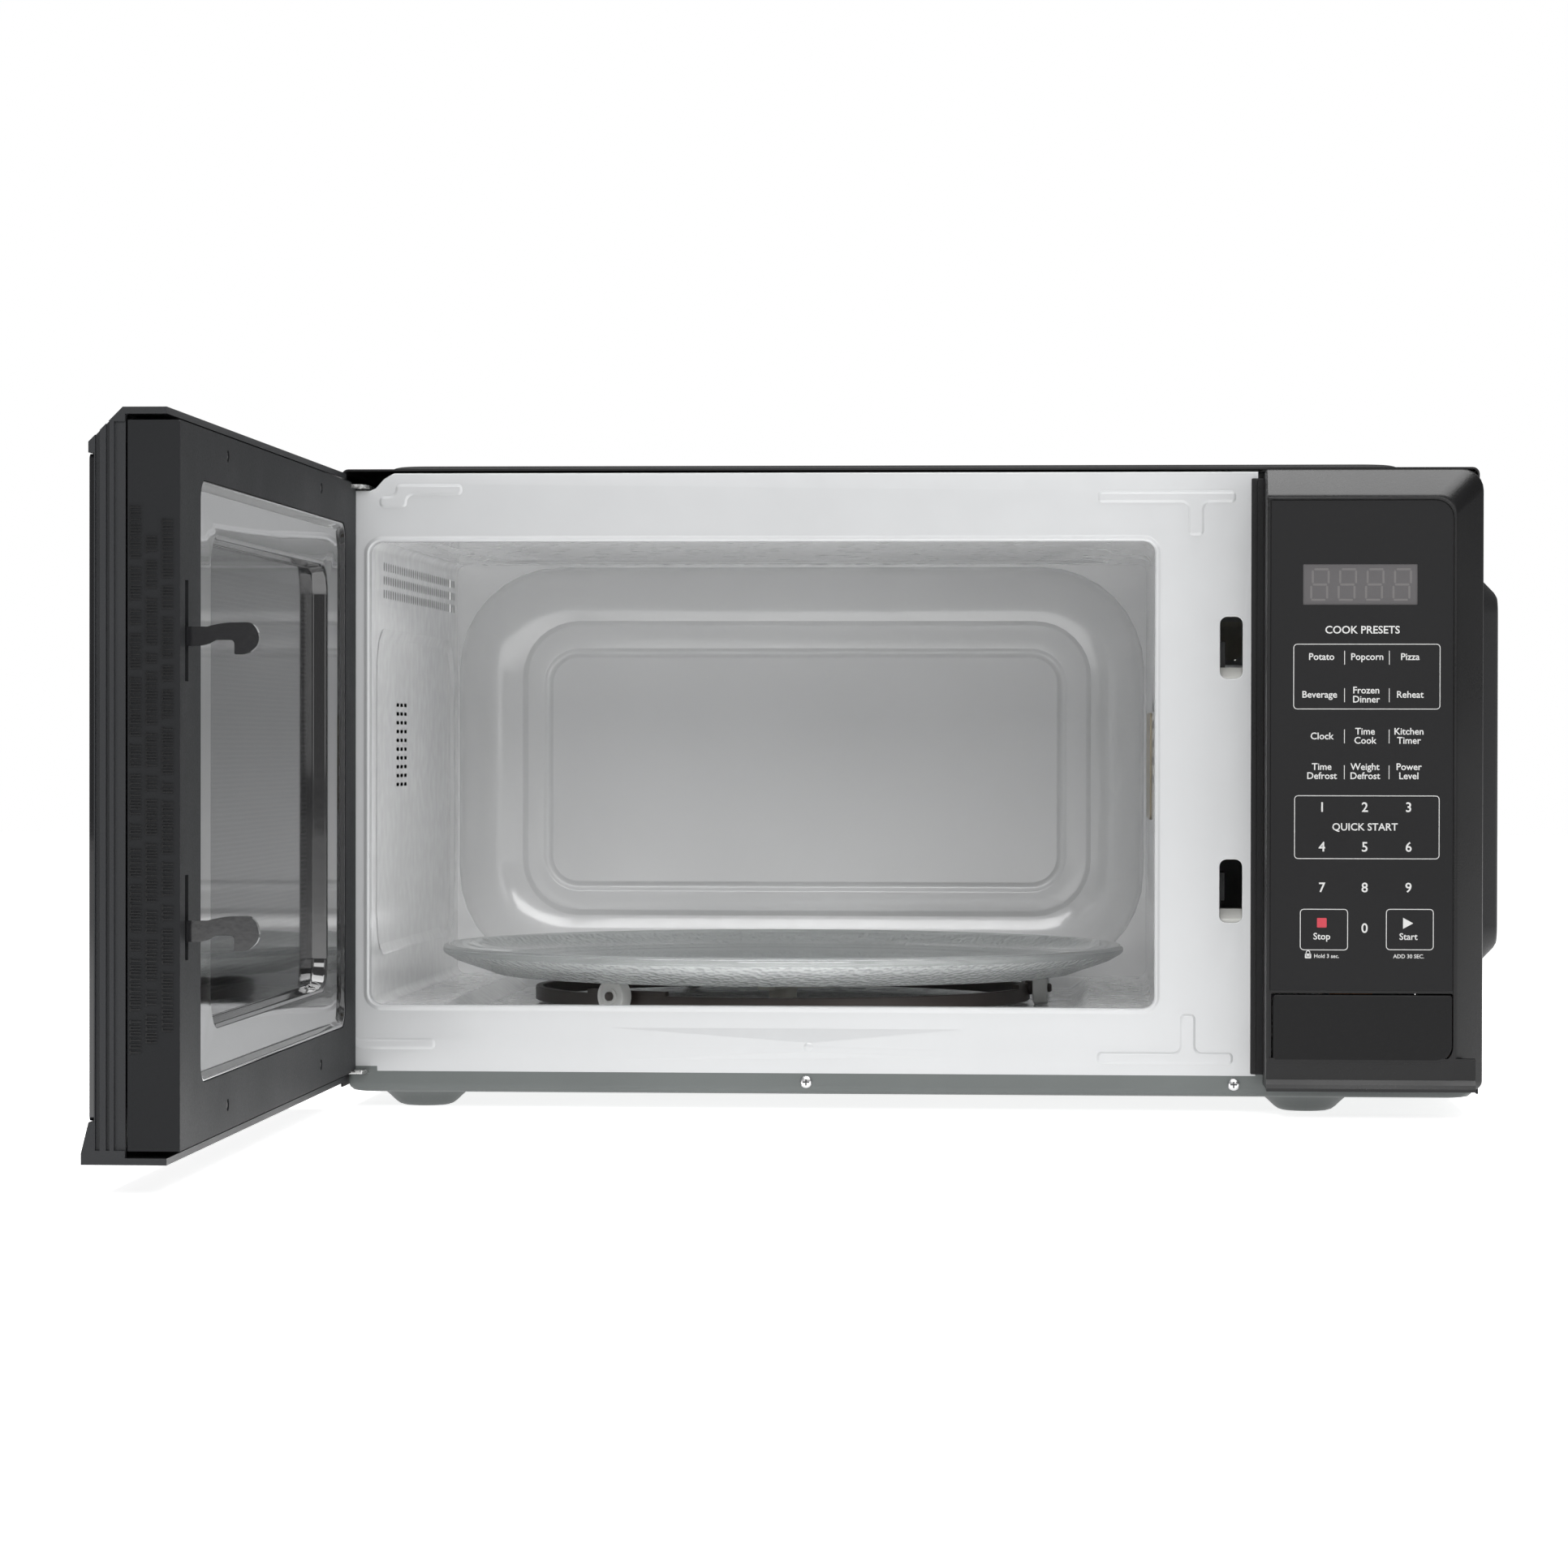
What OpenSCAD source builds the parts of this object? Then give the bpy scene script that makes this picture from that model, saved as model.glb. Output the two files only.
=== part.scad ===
// Countertop microwave oven with a side-hung door standing open at a right angle.
// Millimetres, Z up, front towards -Y. The origin is on the standing surface, under
// the middle of the box that the oven and its open door fill.

/* [Cabinet] */
// Cabinet width across the front
cab_w = 487; // [480:1:500]
// Cabinet depth from the front plate to the rear panel
cab_d = 344; // [340:1:352]
// Height of the flat top above the standing surface
cab_top = 275.5; // [274.5:0.5:278]
// Height of the pressed feet
foot_h = 7.2; // [6.5:0.1:8]
// Sheet steel thickness
sheet = 0.9; // [0.7:0.1:1.0]

/* [Cavity] */
// Width of the cavity opening
open_w = 337; // [333:1:338]
// Height of the cavity opening
open_h = 199; // [196:1:200]
// Depth from the front plate to the flat of the rear wall
cav_d = 326; // [324:1:327]
// Diameter of the glass tray
tray_dia = 315; // [300:1:315]
// Radius from the turntable axis to the middle of a roller
roller_r = 120; // [114:1:122]

/* [Door] */
// Angle at which the door stands open
door_angle = 90; // [0:5:105]
// Thickness of the door moulding in front of the front plate
door_t = 33.4; // [32:0.2:35]
// Height of the door moulding
door_h = 261.8; // [260:0.1:262]

/* [Hidden] */

$fn = 64;
xl = -cab_w / 2;
xr = cab_w / 2;
ox = 8;
oy = 22.5;
// opening in the front plate
ax0 = xl + 12.5;
ax1 = ax0 + open_w;
az0 = 45;
az1 = az0 + open_h;
acx = (ax0 + ax1) / 2;
// inside of the cavity
ix0 = ax0 - 1.5;
ix1 = ax1 + 1.5;
iz0 = az0 - 1.5;
iz1 = az1 + 1.5;
wall_y = cav_d - 28;
dish_r = 28;
corner_r = 50;
// front plate
pz0 = 15.5;
pz1 = cab_top - 1.7;
px1 = 150;
strip_x = 130;
strip_z0 = 64;
strip_z1 = 228;
// control panel
qx0 = 152.3;
qx1 = xr - 0.1;
qz0 = 12.3;
qz1 = 273.5;
// turntable, standing in a shallow well of the cavity floor
tt_y = 162;
well_h = 5.6;
well_slope = 9;
well_x = 142.1;
well_y = [14, 296];
roller_rad = 7.5;
roller_z = iz0 - well_h + 0.1 + roller_rad;
tray_z = roller_z + roller_rad + 0.2;
ring_turn = -5;
// door, drawn shut and then swung about the hinge line
hx = xl + 3.5;
hy = -5;
dx0 = xl;
dx1 = 151.5;
dz0 = 11.7;
dz1 = dz0 + door_h;
gap = 1.5;
hook_x0 = 137;
hook_x1 = 140.4;
// feet
foot_x = [-210, 171.5];
foot_y = [28, cab_d - 32];
fan_x = 176;
fan_z = 158;

module bx(x0, x1, y0, y1, z0, z1) {
  translate([x0, y0, z0])
    cube([x1 - x0, y1 - y0, z1 - z0]);
}

module place() {
  translate([ox, oy, 0])
    children();
}

module swing() {
  place()
    translate([hx, hy, 0])
      rotate([0, 0, -door_angle])
        translate([-hx, -hy, 0])
          children();
}

// flat outlines in X-Z pushed along Y, and in Y-Z pushed along X
module ypush(y0, y1) {
  translate([0, y1, 0])
    rotate([90, 0, 0])
      linear_extrude(y1 - y0)
        children();
}

module xpush(x0, x1) {
  translate([x0, 0, 0])
    rotate([90, 0, 90])
      linear_extrude(x1 - x0)
        children();
}

module rect(x0, x1, z0, z1) {
  translate([x0, z0])
    square([x1 - x0, z1 - z0]);
}

module rrect(x0, x1, z0, z1, r) {
  rect(x0 + r, x1 - r, z0, z1);
  rect(x0, x1, z0 + r, z1 - r);
  for (x = [x0 + r, x1 - r], z = [z0 + r, z1 - r])
    translate([x, z])
      circle(r);
}

module ycyl(x, z, r, y0, y1) {
  translate([x, y0, z])
    rotate([-90, 0, 0])
      cylinder(r = r, h = y1 - y0);
}

module xcyl(y, z, r, x0, x1) {
  translate([x0, y, z])
    rotate([0, 90, 0])
      cylinder(r = r, h = x1 - x0);
}

module zcyl(x, y, r, z0, z1) {
  translate([x, y, z0])
    cylinder(r = r, h = z1 - z0);
}

// raised pad with four sloping sides, standing on z = 0 and rising to h
module pad(x0, x1, y0, y1, h, s) {
  intersection() {
    ypush(y0, y1)
      polygon([[x0, 0], [x1, 0], [x1 - s, h], [x0 + s, h]]);
    xpush(x0, x1)
      polygon([[y0, 0], [y1, 0], [y1 - s, h], [y0 + s, h]]);
  }
}

module slot_row(x0, z0, n, m, px, pz, w, h) {
  for (i = [0 : n - 1], j = [0 : m - 1])
    translate([x0 + i * px, z0 + j * pz])
      square([w, h]);
}

// ---------------------------------------------------------------- cabinet sheet metal

module side_pad(d) {
  translate([xr - d, 0, 0])
    rotate([0, 90, 0])
      pad(-234, -59, 20, cab_d - 14, 11, 12);
}

module outer_wrapper() {
  color([0.05, 0.05, 0.055])
  place()
    difference() {
      union() {
        ypush(0.3, cab_d - 1)
          rect(xl, xr, 9.2, cab_top);
        translate([0, 0, cab_top])
          pad(xl + 10, xr - 26, 26, cab_d - 14, 3.2, 6);
        side_pad(0);
      }
      ypush(8, cab_d)
        rect(xl + 0.8, xr - 0.8, 0, cab_top - 0.8);
      ypush(-1, 9)
        rect(xl + 0.8, xr - 0.8, 0, cab_top - 1.6);
      translate([0, 0, cab_top - 0.8])
        pad(xl + 10, xr - 26, 26, cab_d - 14, 3.2, 6);
      side_pad(0.8);
      // air slots in the right side
      xpush(xr - 2, xr + 20)
        slot_row(238, 92, 9, 3, 8, 34, 3.5, 24);
      // air slots in the left side
      xpush(xl - 2, xl + 3)
        slot_row(236, 60, 9, 1, 8, 34, 3.5, 26);
    }
}

module foot(x, y, d, z1) {
  translate([x, y, d])
    cylinder(r1 = 10 - d * 0.3, r2 = 15.5 - d * 0.3, h = z1 - d);
}

module base_pan() {
  color([0.37, 0.4, 0.4])
  place()
    difference() {
      union() {
        bx(xl + 3, xr - 2, 0, cab_d - 1.5, foot_h, 8.1);
        bx(xl + 3, xr - 2, 0, sheet, foot_h, pz0 - 0.2);
        bx(xl + 3, xl + 3 + sheet, 0, cab_d - 1.5, foot_h, 24);
        bx(xr - 2 - sheet, xr - 2, 0, cab_d - 1.5, foot_h, 24);
        bx(xl + 3, xr - 2, cab_d - 1.5 - sheet, cab_d - 1.5, foot_h, 24);
        for (x = foot_x, y = foot_y)
          foot(x, y, 0, 8.1);
        translate([0, 0, foot_h])
          mirror([0, 0, 1])
            pad(188, 228, 14, 70, 1.8, 3);
      }
      for (x = foot_x, y = foot_y)
        foot(x, y, sheet, 8.3);
      // clearance for the lower hinge plate and the front plate's return
      bx(xl + 2, xl + 5, -1, 14.5, 15.2, 25);
      bx(acx - 34, acx + 34, tt_y - 34, tt_y + 34, 0, 9);
      for (i = [0 : 11], j = [0, 1])
        bx(128 + i * 8, 131.5 + i * 8, 96 + j * 40, 126 + j * 40, 0, 9);
      for (x = [acx + 20, 140])
        ycyl(x, 12.6, 1.6, -1, 2);
    }
}

module motor_cover() {
  color([0.42, 0.45, 0.45])
  place()
    difference() {
      bx(acx - 39, acx + 39, tt_y - 39, tt_y + 39, 8.2, 9.1);
      for (i = [-1 : 1])
        bx(acx - 16, acx + 16, tt_y + i * 14 - 2, tt_y + i * 14 + 2, 8, 10);
    }
}

module rear_panel() {
  color([0.6, 0.62, 0.62])
  place()
    ypush(cab_d - sheet, cab_d)
      difference() {
        rect(xl + 1, xr - 1, 9.2, cab_top - 1.2);
        // fan intake slots
        slot_row(fan_x - 43, fan_z - 42, 11, 3, 8, 30, 4, 24);
        // exhaust slots
        slot_row(xl + 36, 62, 14, 2, 8, 34, 4, 26);
        translate([214, 244])
          circle(8.4);
        for (x = [-226, -70, 90, 226])
          translate([x, cab_top - 9])
            circle(1.6);
        for (x = [-226, 226])
          translate([x, 34])
            circle(1.6);
      }
}

module rib_plan() {
  // pressed stiffening ribs of the front plate
  rrect(ax0 + 11, ax0 + 40.5, pz1 - 10.2, pz1 - 4.2, 2.9);
  rrect(ax0 + 3.6, ax0 + 17, pz1 - 15.4, pz1 - 9.4, 2.9);
  rrect(81.3, 141, pz1 - 13.8, pz1 - 7.6, 3);
  rrect(119.8, 127.4, pz1 - 30.8, pz1 - 7.6, 3);
  rrect(81.3, 140.2, pz0 + 5, pz0 + 11.2, 3);
  rrect(116.6, 124.2, pz0 + 5, pz0 + 30, 3);
  rrect(ax0 - 8, ax0 + 29, pz0 + 9.6, pz0 + 15.4, 2.8);
}

module strip_area(g) {
  // part of the front plate that carries the latch slots
  rect(strip_x + g, px1 + 1, strip_z0 + g, strip_z1 - g);
}

module plate_body() {
  difference() {
    union() {
      ypush(0, sheet)
        rect(xl + 1, px1, pz0, pz1);
      ypush(0, 9)
        difference() {
          rect(xl + 1, px1, pz0, pz1);
          rect(xl + 1 + sheet, px1 - sheet, pz0 + sheet, pz1 - sheet);
        }
      // rolled bead and lip round the opening
      ypush(-1, 0.5)
        rrect(ax0 - 2.2, ax1 + 2.2, az0 - 2.2, az1 + 2.2, 7);
      ypush(0, 5)
        rrect(ax0 - 1, ax1 + 1, az0 - 1, az1 + 1, 6);
      ypush(-0.8, 0.5)
        rib_plan();
      ycyl(acx + 21, 27.5, 1.5, -0.6, 0.5);
    }
    ypush(-2, 6)
      rrect(ax0, ax1, az0, az1, 5);
    // latch slots
    ypush(-1, 2)
      rrect(133.9, 143.4, 185.6, 211.9, 3.5);
    ypush(-1, 2)
      rrect(133.9, 143.4, 81.6, 108.5, 3.5);
    // corner cut-outs for the hinge plates
    ypush(-1, 10)
      polygon([
        [xl - 1, 266.4], [-230.6, 266.4], [-228.4, 267.4], [-226.8, 269.4],
        [-224.6, 271.8], [-221.6, 273], [-220.6, 276], [xl - 1, 276]
      ]);
    ypush(-1, 10)
      rect(xl - 1, -228.5, pz0 - 1, 17.6);
  }
}

module front_frame() {
  color([0.86, 0.87, 0.88])
  place()
    difference() {
      plate_body();
      ypush(-2, 12)
        strip_area(0);
    }
}

module latch_strip() {
  color([0.86, 0.87, 0.88])
  place()
    intersection() {
      plate_body();
      ypush(-2, 12)
        strip_area(0.05);
    }
}

module front_screws() {
  color([0.75, 0.76, 0.78])
  place()
    for (x = [acx + 20, 140]) {
      ycyl(x, 12.6, 2.6, -1.5, -0.05);
      ycyl(x, 12.6, 1.5, -0.1, 5);
    }
}

module wrapper_screws() {
  color([0.6, 0.6, 0.62])
  place() {
    for (x = [-226, -70, 90, 226]) {
      ycyl(x, cab_top - 9, 3.5, cab_d + 0.05, cab_d + 2.2);
      ycyl(x, cab_top - 9, 1.5, cab_d - 7, cab_d + 0.1);
    }
    for (x = [-226, 226]) {
      ycyl(x, 34, 3.5, cab_d + 0.05, cab_d + 2.2);
      ycyl(x, 34, 1.5, cab_d - 7, cab_d + 0.1);
    }
  }
}

module rear_bumpers() {
  color([0.07, 0.07, 0.07])
  place()
    for (x = [-160, 100])
      translate([x, cab_d + 0.05, 252])
        rotate([-90, 0, 0])
          cylinder(r1 = 9, r2 = 7, h = 7.5);
}

module cord_bushing() {
  color([0.06, 0.06, 0.06])
  place()
    difference() {
      union() {
        ycyl(214, 244, 8.2, cab_d - 6, cab_d + 1);
        ycyl(214, 244, 11, cab_d + 0.05, cab_d + 4);
        ycyl(214, 244, 10.5, cab_d - 6, cab_d - sheet - 0.1);
      }
      ycyl(214, 244, 3.6, cab_d - 8, cab_d + 6);
    }
}

module upper_hinge() {
  color([0.72, 0.72, 0.7])
  place()
    difference() {
      union() {
        bx(xl + 1.6, -231, -2, 14, 267, 268.5);
        translate([0, 0, 267])
          linear_extrude(1.5)
            polygon([[xl + 1.6, -2], [-231, -2], [-233, -8.5], [xl + 1.6, -8.5]]);
        bx(xl + 2.2, ix0 - 1.4, 10, 11.5, 236, 268.5);
        zcyl(hx, hy, 1.6, 255, 267.5);
      }
      zcyl(-234.4, -3, 1, 266, 270);
    }
}

module lower_hinge() {
  color([0.72, 0.72, 0.7])
  place() {
    bx(xl + 1.6, -231, -2, 14, 15.4, 16.9);
    translate([0, 0, 15.4])
      linear_extrude(1.5)
        polygon([[xl + 1.6, -2], [-231, -2], [-233, -8.5], [xl + 1.6, -8.5]]);
    bx(xl + 4.5, ix0 - 1.4, 10, 11.5, 15.4, 42);
    zcyl(hx, hy, 1.6, 16.4, 29);
  }
}

// ---------------------------------------------------------------- cavity

// the well of the cavity floor; t is the sheet outside it
module floor_well(t) {
  translate([0, 0, iz0])
    pad(acx - well_x - t, acx + well_x + t, well_y[0] - t, well_y[1] + t, -well_h - t, well_slope);
}

module cavity_shell() {
  color([0.78, 0.79, 0.8])
  place()
    difference() {
      union() {
        ypush(1, wall_y - 0.1)
          difference() {
            rect(ix0 - sheet, ix1 + sheet, iz0 - sheet, iz1 + sheet);
            rect(ix0, ix1, iz0, iz1);
          }
        floor_well(sheet);
      }
      floor_well(0);
      // exhaust slots high in the left wall and a second block in its middle
      xpush(ix0 - 2, ix0 + 1)
        slot_row(50, iz1 - 24, 34, 3, 7, 6, 2, 4);
      xpush(ix0 - 2, ix0 + 1)
        slot_row(10, 138, 3, 10, 12, 4, 8, 1.6);
      // lamp holes, microwave port and air inlet in the right wall
      xpush(ix1 - 1, ix1 + 2)
        slot_row(244, 208, 5, 5, 4, 4, 2, 2);
      xpush(ix1 - 1, ix1 + 2)
        rect(150, 225, 130, 165);
      xpush(ix1 - 1, ix1 + 2)
        slot_row(88, 140, 6, 5, 7, 8, 4, 4);
      // shaft hole in the floor
      zcyl(acx, tt_y, 8, iz0 - well_h - 2, iz0 + 1);
    }
}

module dish(g) {
  r = dish_r + g;
  intersection() {
    ypush(wall_y - 2, cav_d + g + 1)
      rrect(ix0 + 1 - g, ix1 - 1 + g, iz0 + 1 - g, iz1 - 1 + g, corner_r + g);
    linear_extrude(400)
      dish_plan(ix0 + 1 - g, ix1 - 1 + g, r);
    xpush(-400, 400)
      rotate([0, 0, 90])
        mirror([0, 1, 0])
          dish_plan(iz0 + 1 - g, iz1 - 1 + g, r);
  }
}

module dish_plan(a0, a1, r) {
  rect(a0, a1, wall_y - 2, wall_y);
  rect(a0 + r, a1 - r, wall_y - 2, wall_y + r);
  for (a = [a0 + r, a1 - r])
    translate([a, wall_y])
      circle(r);
}

module cavity_back() {
  color([0.76, 0.77, 0.78])
  place() {
    difference() {
      union() {
        ypush(wall_y, wall_y + sheet)
          rect(ix0 - sheet, ix1 + sheet, iz0 - sheet, iz1 + sheet);
        dish(sheet);
      }
      dish(0);
      ypush(wall_y - 40, wall_y)
        rect(-400, 400, -10, 400);
    }
    ypush(cav_d - 1.4, cav_d + 0.2)
      difference() {
        rrect(acx - 131, acx + 131, 83.5, 205.5, 18);
        rrect(acx - 126, acx + 126, 88.5, 200.5, 13);
      }
  }
}

module waveguide_cover() {
  color([0.8, 0.78, 0.7])
  place()
    xpush(ix1 - 0.8, ix1 - 0.1)
      rrect(143, 232, 123, 172, 3);
}

module waveguide() {
  color([0.7, 0.71, 0.72])
  place()
    difference() {
      bx(ix1 + sheet + 0.1, 136, 130, 240, 118, 202);
      bx(ix1, 135, 131, 239, 119, 201);
      xcyl(185, 160, 14, 130, 140);
    }
}

module lamp_holder() {
  color([0.85, 0.83, 0.78])
  place()
    difference() {
      bx(116, 134, 243, 265, 205, 229);
      xcyl(254, 217, 7.2, 110, 128);
    }
}

module oven_lamp() {
  color([0.95, 0.92, 0.8])
  place() {
    xcyl(254, 217, 7, 116, 127.5);
    translate([116, 254, 217])
      intersection() {
        sphere(r = 7);
        translate([-7, -8, -8])
          cube([10, 16, 16]);
      }
  }
}

module thermal_cutout() {
  color([0.6, 0.55, 0.45])
  place() {
    xcyl(60, 205, 8, ix1 + sheet + 0.1, ix1 + 9);
    for (y = [56, 64])
      bx(ix1 + 8.5, ix1 + 15, y - 0.4, y + 0.4, 202, 208);
  }
}

module turntable_motor() {
  color([0.7, 0.7, 0.66])
  place()
    difference() {
      union() {
        zcyl(acx, tt_y, 25, 18.4, 32.4);
        zcyl(acx, tt_y, 9, 31.4, 35.4);
        bx(acx - 31, acx + 31, tt_y - 5, tt_y + 5, 31.4, 32.4);
        bx(acx - 8, acx + 8, tt_y + 20, tt_y + 33, 19.4, 30.4);
      }
      zcyl(acx, tt_y, 3.56, 20.4, 36.4);
    }
}

// ---------------------------------------------------------------- turntable

module drive_coupler() {
  color([0.8, 0.8, 0.78])
  place() {
    zcyl(acx, tt_y, 3.5, 21.4, 44.4);
    zcyl(acx, tt_y, 6.5, 36.4, tray_z - 0.6);
    translate([acx, tt_y, tray_z - 8.8])
      for (a = [0 : 120 : 240])
        rotate([0, 0, a + 15])
          translate([0, -4, 0])
            cube([24, 8, 8.2]);
  }
}

module glass_tray() {
  r = tray_dia / 2;
  color([0.75, 0.85, 0.85, 0.4])
  place()
    translate([acx, tt_y, tray_z]) {
      rotate_extrude($fn = 96)
        polygon([[0, 0], [r - 33, 0], [r - 31, -1.6], [r - 26, -1.6], [r - 18, 0.4],
                 [r - 6, 4.4], [r, 8.4], [r, 10.6], [r - 2, 12], [r - 5, 11.4],
                 [r - 10, 8], [r - 18, 5.4], [r - 31, 4.4], [0, 4.4]]);
      for (a = [60 : 120 : 300])
        rotate([0, 0, a + 15])
          translate([19, 0, -4.4])
            cylinder(r = 3, h = 4.6);
    }
}

module roller_ring() {
  color([0.2, 0.12, 0.09])
  place()
    translate([acx, tt_y, 0]) {
      translate([0, 0, roller_z - 5.7])
        rotate_extrude($fn = 96)
          translate([roller_r - 9, 0])
            square([3.5, 8]);
      for (a = [0 : 120 : 240])
        rotate([0, 0, a + ring_turn]) {
          xcyl(0, roller_z, 2, roller_r - 7, roller_r + 5);
          xcyl(0, roller_z, 3.2, roller_r - 6, roller_r - 4);
        }
    }
}

module roller(a) {
  color([0.93, 0.93, 0.91])
  place()
    translate([acx, tt_y, roller_z])
      rotate([0, 0, a + ring_turn])
        translate([roller_r, 0, 0])
          rotate([0, 90, 0])
            difference() {
              cylinder(r = roller_rad, h = 6.4, center = true);
              cylinder(r = 2.06, h = 8, center = true);
            }
}

module roller_a() {
  roller(0);
}

module roller_b() {
  roller(120);
}

module roller_c() {
  roller(240);
}

// ---------------------------------------------------------------- control panel

module front_section(z0, z1, inset) {
  // side outline shared by the door and the control panel
  d = -door_t + inset;
  polygon([[0, z0 + inset], [d - 2.6, z0 + inset], [d - 2.6, z0 + 4 + inset], [d, z0 + 14.5],
           [d, z1 - 12 - inset * 0.4], [d + 12 - inset * 0.6, z1 - inset], [0, z1 - inset]]);
}

module control_frame() {
  color([0.06, 0.06, 0.065])
  place() {
    difference() {
      intersection() {
        xpush(qx0, qx1)
          front_section(qz0, qz1, 0);
        linear_extrude(300)
          polygon([[qx0, 0], [qx0, -40], [qx1 - 12.5, -40], [qx1 - 12.5, -door_t - 3],
                   [qx1, -21], [qx1, 0]]);
      }
      intersection() {
        xpush(qx0 + 2.2, qx1 - 2.2)
          front_section(qz0, qz1, 2.4);
        linear_extrude(300)
          polygon([[qx0 + 2.2, 1], [qx0 + 2.2, -40], [qx1 - 15, -40], [qx1 - 15, -31],
                   [qx1 - 2.2, -19.5], [qx1 - 2.2, 1]]);
      }
      // shallow seat of the keypad, then the openings behind it
      ypush(-40, -door_t + 1.3)
        rrect(153.4, 230.4, 54.2, 260.3, 1.5);
      ypush(-40, -25)
        rect(166, 216, 214.6, 234.4);
      ypush(-40, -25)
        rect(154.6, 230.2, 24.3, 53.4);
    }
    // flange lying over the edge of the front plate
    bx(147, qx0 + 0.2, -1.2, -0.1, 17, 270.8);
    // pivot stub of the release lever
    xcyl(-8, 55, 2, qx0 + 2, 160);
    // pivot stubs of the release button
    for (x = [qx0 + 2, 230.4])
      xcyl(-29, 50, 1.6, x - 0.1, x + 2.1);
    bx(230.4, 232.6, -32, -26, 42, 58);
  }
}

module keypad_membrane() {
  color([0.04, 0.04, 0.045])
  place()
    ypush(-door_t + 0.5, -door_t + 1.2)
      difference() {
        rrect(153.8, 229.9, 54.8, 259.7, 2);
        rect(167.3, 214.9, 216, 233);
      }
}

module display_window() {
  color([0.12, 0.11, 0.11])
  place()
    bx(166.3, 215.7, -door_t + 1.3, -door_t + 2.6, 214.9, 234.1);
}

module control_board() {
  color([0.1, 0.3, 0.16])
  place() {
    bx(158, 226, -20, -18.4, 92, 250);
    bx(168, 214, -29.5, -19.9, 214, 236);
    bx(164, 188, -18.5, -4, 100, 124);
    bx(196, 212, -18.5, -6, 100, 112);
    bx(196, 212, -18.5, -6, 118, 130);
    for (z = [150, 172])
      ycyl(176, z, 6, -18.5, -6);
    bx(196, 220, -18.5, -15, 150, 190);
  }
}

module release_button() {
  color([0.05, 0.05, 0.055])
  place()
    difference() {
      union() {
        ypush(-door_t + 0.1, -door_t + 2.4)
          rrect(154.9, 229.9, 24.7, 53, 1.5);
        for (x = [155, 227.4])
          bx(x, x + 2.4, -door_t + 2, -26, 43, 52.6);
        bx(161.5, 166, -door_t + 2, -10.6, 27, 32);
      }
      for (x = [154, 227])
        xcyl(-29, 50, 1.66, x, x + 4);
    }
}

module release_lever() {
  color([0.85, 0.85, 0.82])
  place()
    difference() {
      union() {
        xpush(155.5, 158.5)
          polygon([[-10.3, 26], [-6.5, 26], [-5, 49], [1, 55], [21.5, 79], [21.5, 84.8],
                   [17, 84.8], [-6, 60], [-12, 58], [-13, 52]]);
        xcyl(-8, 55, 4.6, 155.5, 159.5);
        bx(135, 158, 17, 21.5, 80.7, 84.8);
        bx(158, 166, -10.3, -6.5, 26, 33);
      }
      xcyl(-8, 55, 2.06, 150, 165);
    }
}

// ---------------------------------------------------------------- door interlock

module latch_board() {
  color([0.72, 0.73, 0.72])
  place()
    difference() {
      union() {
        bx(126.5, 129, 1.2, 50, 60, 228);
        for (z = [180, 214.5])
          bx(126.5, 149, 1.2, 34, z, z + 2.5);
        for (z = [72, 111])
          bx(126.5, 149, 1.2, 14, z, z + 2.5);
        bx(128, 147, 1.2, 12.5, 182, 190.4);
        bx(128, 147, 1.2, 12.5, 74, 87.4);
      }
      // sloping lead-in of each latch ledge
      xpush(120, 150)
        polygon([[1, 186], [1, 192], [8, 192]]);
      xpush(120, 150)
        polygon([[1, 83], [1, 89], [8, 89]]);
    }
}

module interlock_switches() {
  color([0.1, 0.1, 0.12])
  place()
    for (z = [190, 90, 118]) {
      bx(130.5, 137, 30, 50, z, z + 12);
      bx(132.5, 134.5, 28, 30.1, z + 4, z + 7);
    }
}

// ---------------------------------------------------------------- power parts

module magnetron_yoke() {
  color([0.7, 0.7, 0.72])
  place()
    difference() {
      union() {
        bx(136.2, 137.6, 135, 235, 126, 194);
        bx(137.5, 200, 145, 225, 124, 126);
        bx(137.5, 200, 145, 225, 194, 196);
        bx(198, 200, 145, 225, 124, 196);
        bx(200, 226, 160, 210, 140, 180);
      }
      xcyl(185, 160, 14, 130, 142);
    }
}

module magnetron_magnets() {
  color([0.12, 0.12, 0.13])
  place()
    for (x = [138, 185.6])
      difference() {
        xcyl(185, 160, 27, x, x + 12);
        xcyl(185, 160, 18.5, x - 1, x + 13);
      }
}

module magnetron_core() {
  color([0.78, 0.78, 0.8])
  place() {
    xcyl(185, 160, 18, 138.2, 197.6);
    for (i = [0 : 5])
      bx(153 + i * 6, 154 + i * 6, 148, 222, 127, 193);
    xcyl(185, 160, 8, 118, 139);
  }
}

module transformer_core() {
  color([0.3, 0.32, 0.33])
  place()
    difference() {
      union() {
        bx(142, 226, 225, 285, 9, 78);
        bx(134, 234, 225, 285, 8.3, 10);
      }
      bx(155, 168, 220, 290, 22, 65);
      bx(200, 213, 220, 290, 22, 65);
    }
}

module transformer_windings() {
  color([0.7, 0.35, 0.15])
  place()
    difference() {
      bx(155.3, 212.7, 211, 299, 22.3, 64.7);
      bx(167.8, 200.2, 224.8, 285.2, 20, 67);
    }
}

module hv_capacitor() {
  color([0.75, 0.75, 0.76])
  place() {
    bx(160, 178, 96, 190, 14, 46);
    for (x = [160, 178])
      ycyl(x, 30, 16, 96, 190);
    for (x = [162, 176])
      bx(x - 3, x + 3, 84, 96.1, 28, 29);
  }
}

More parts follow.
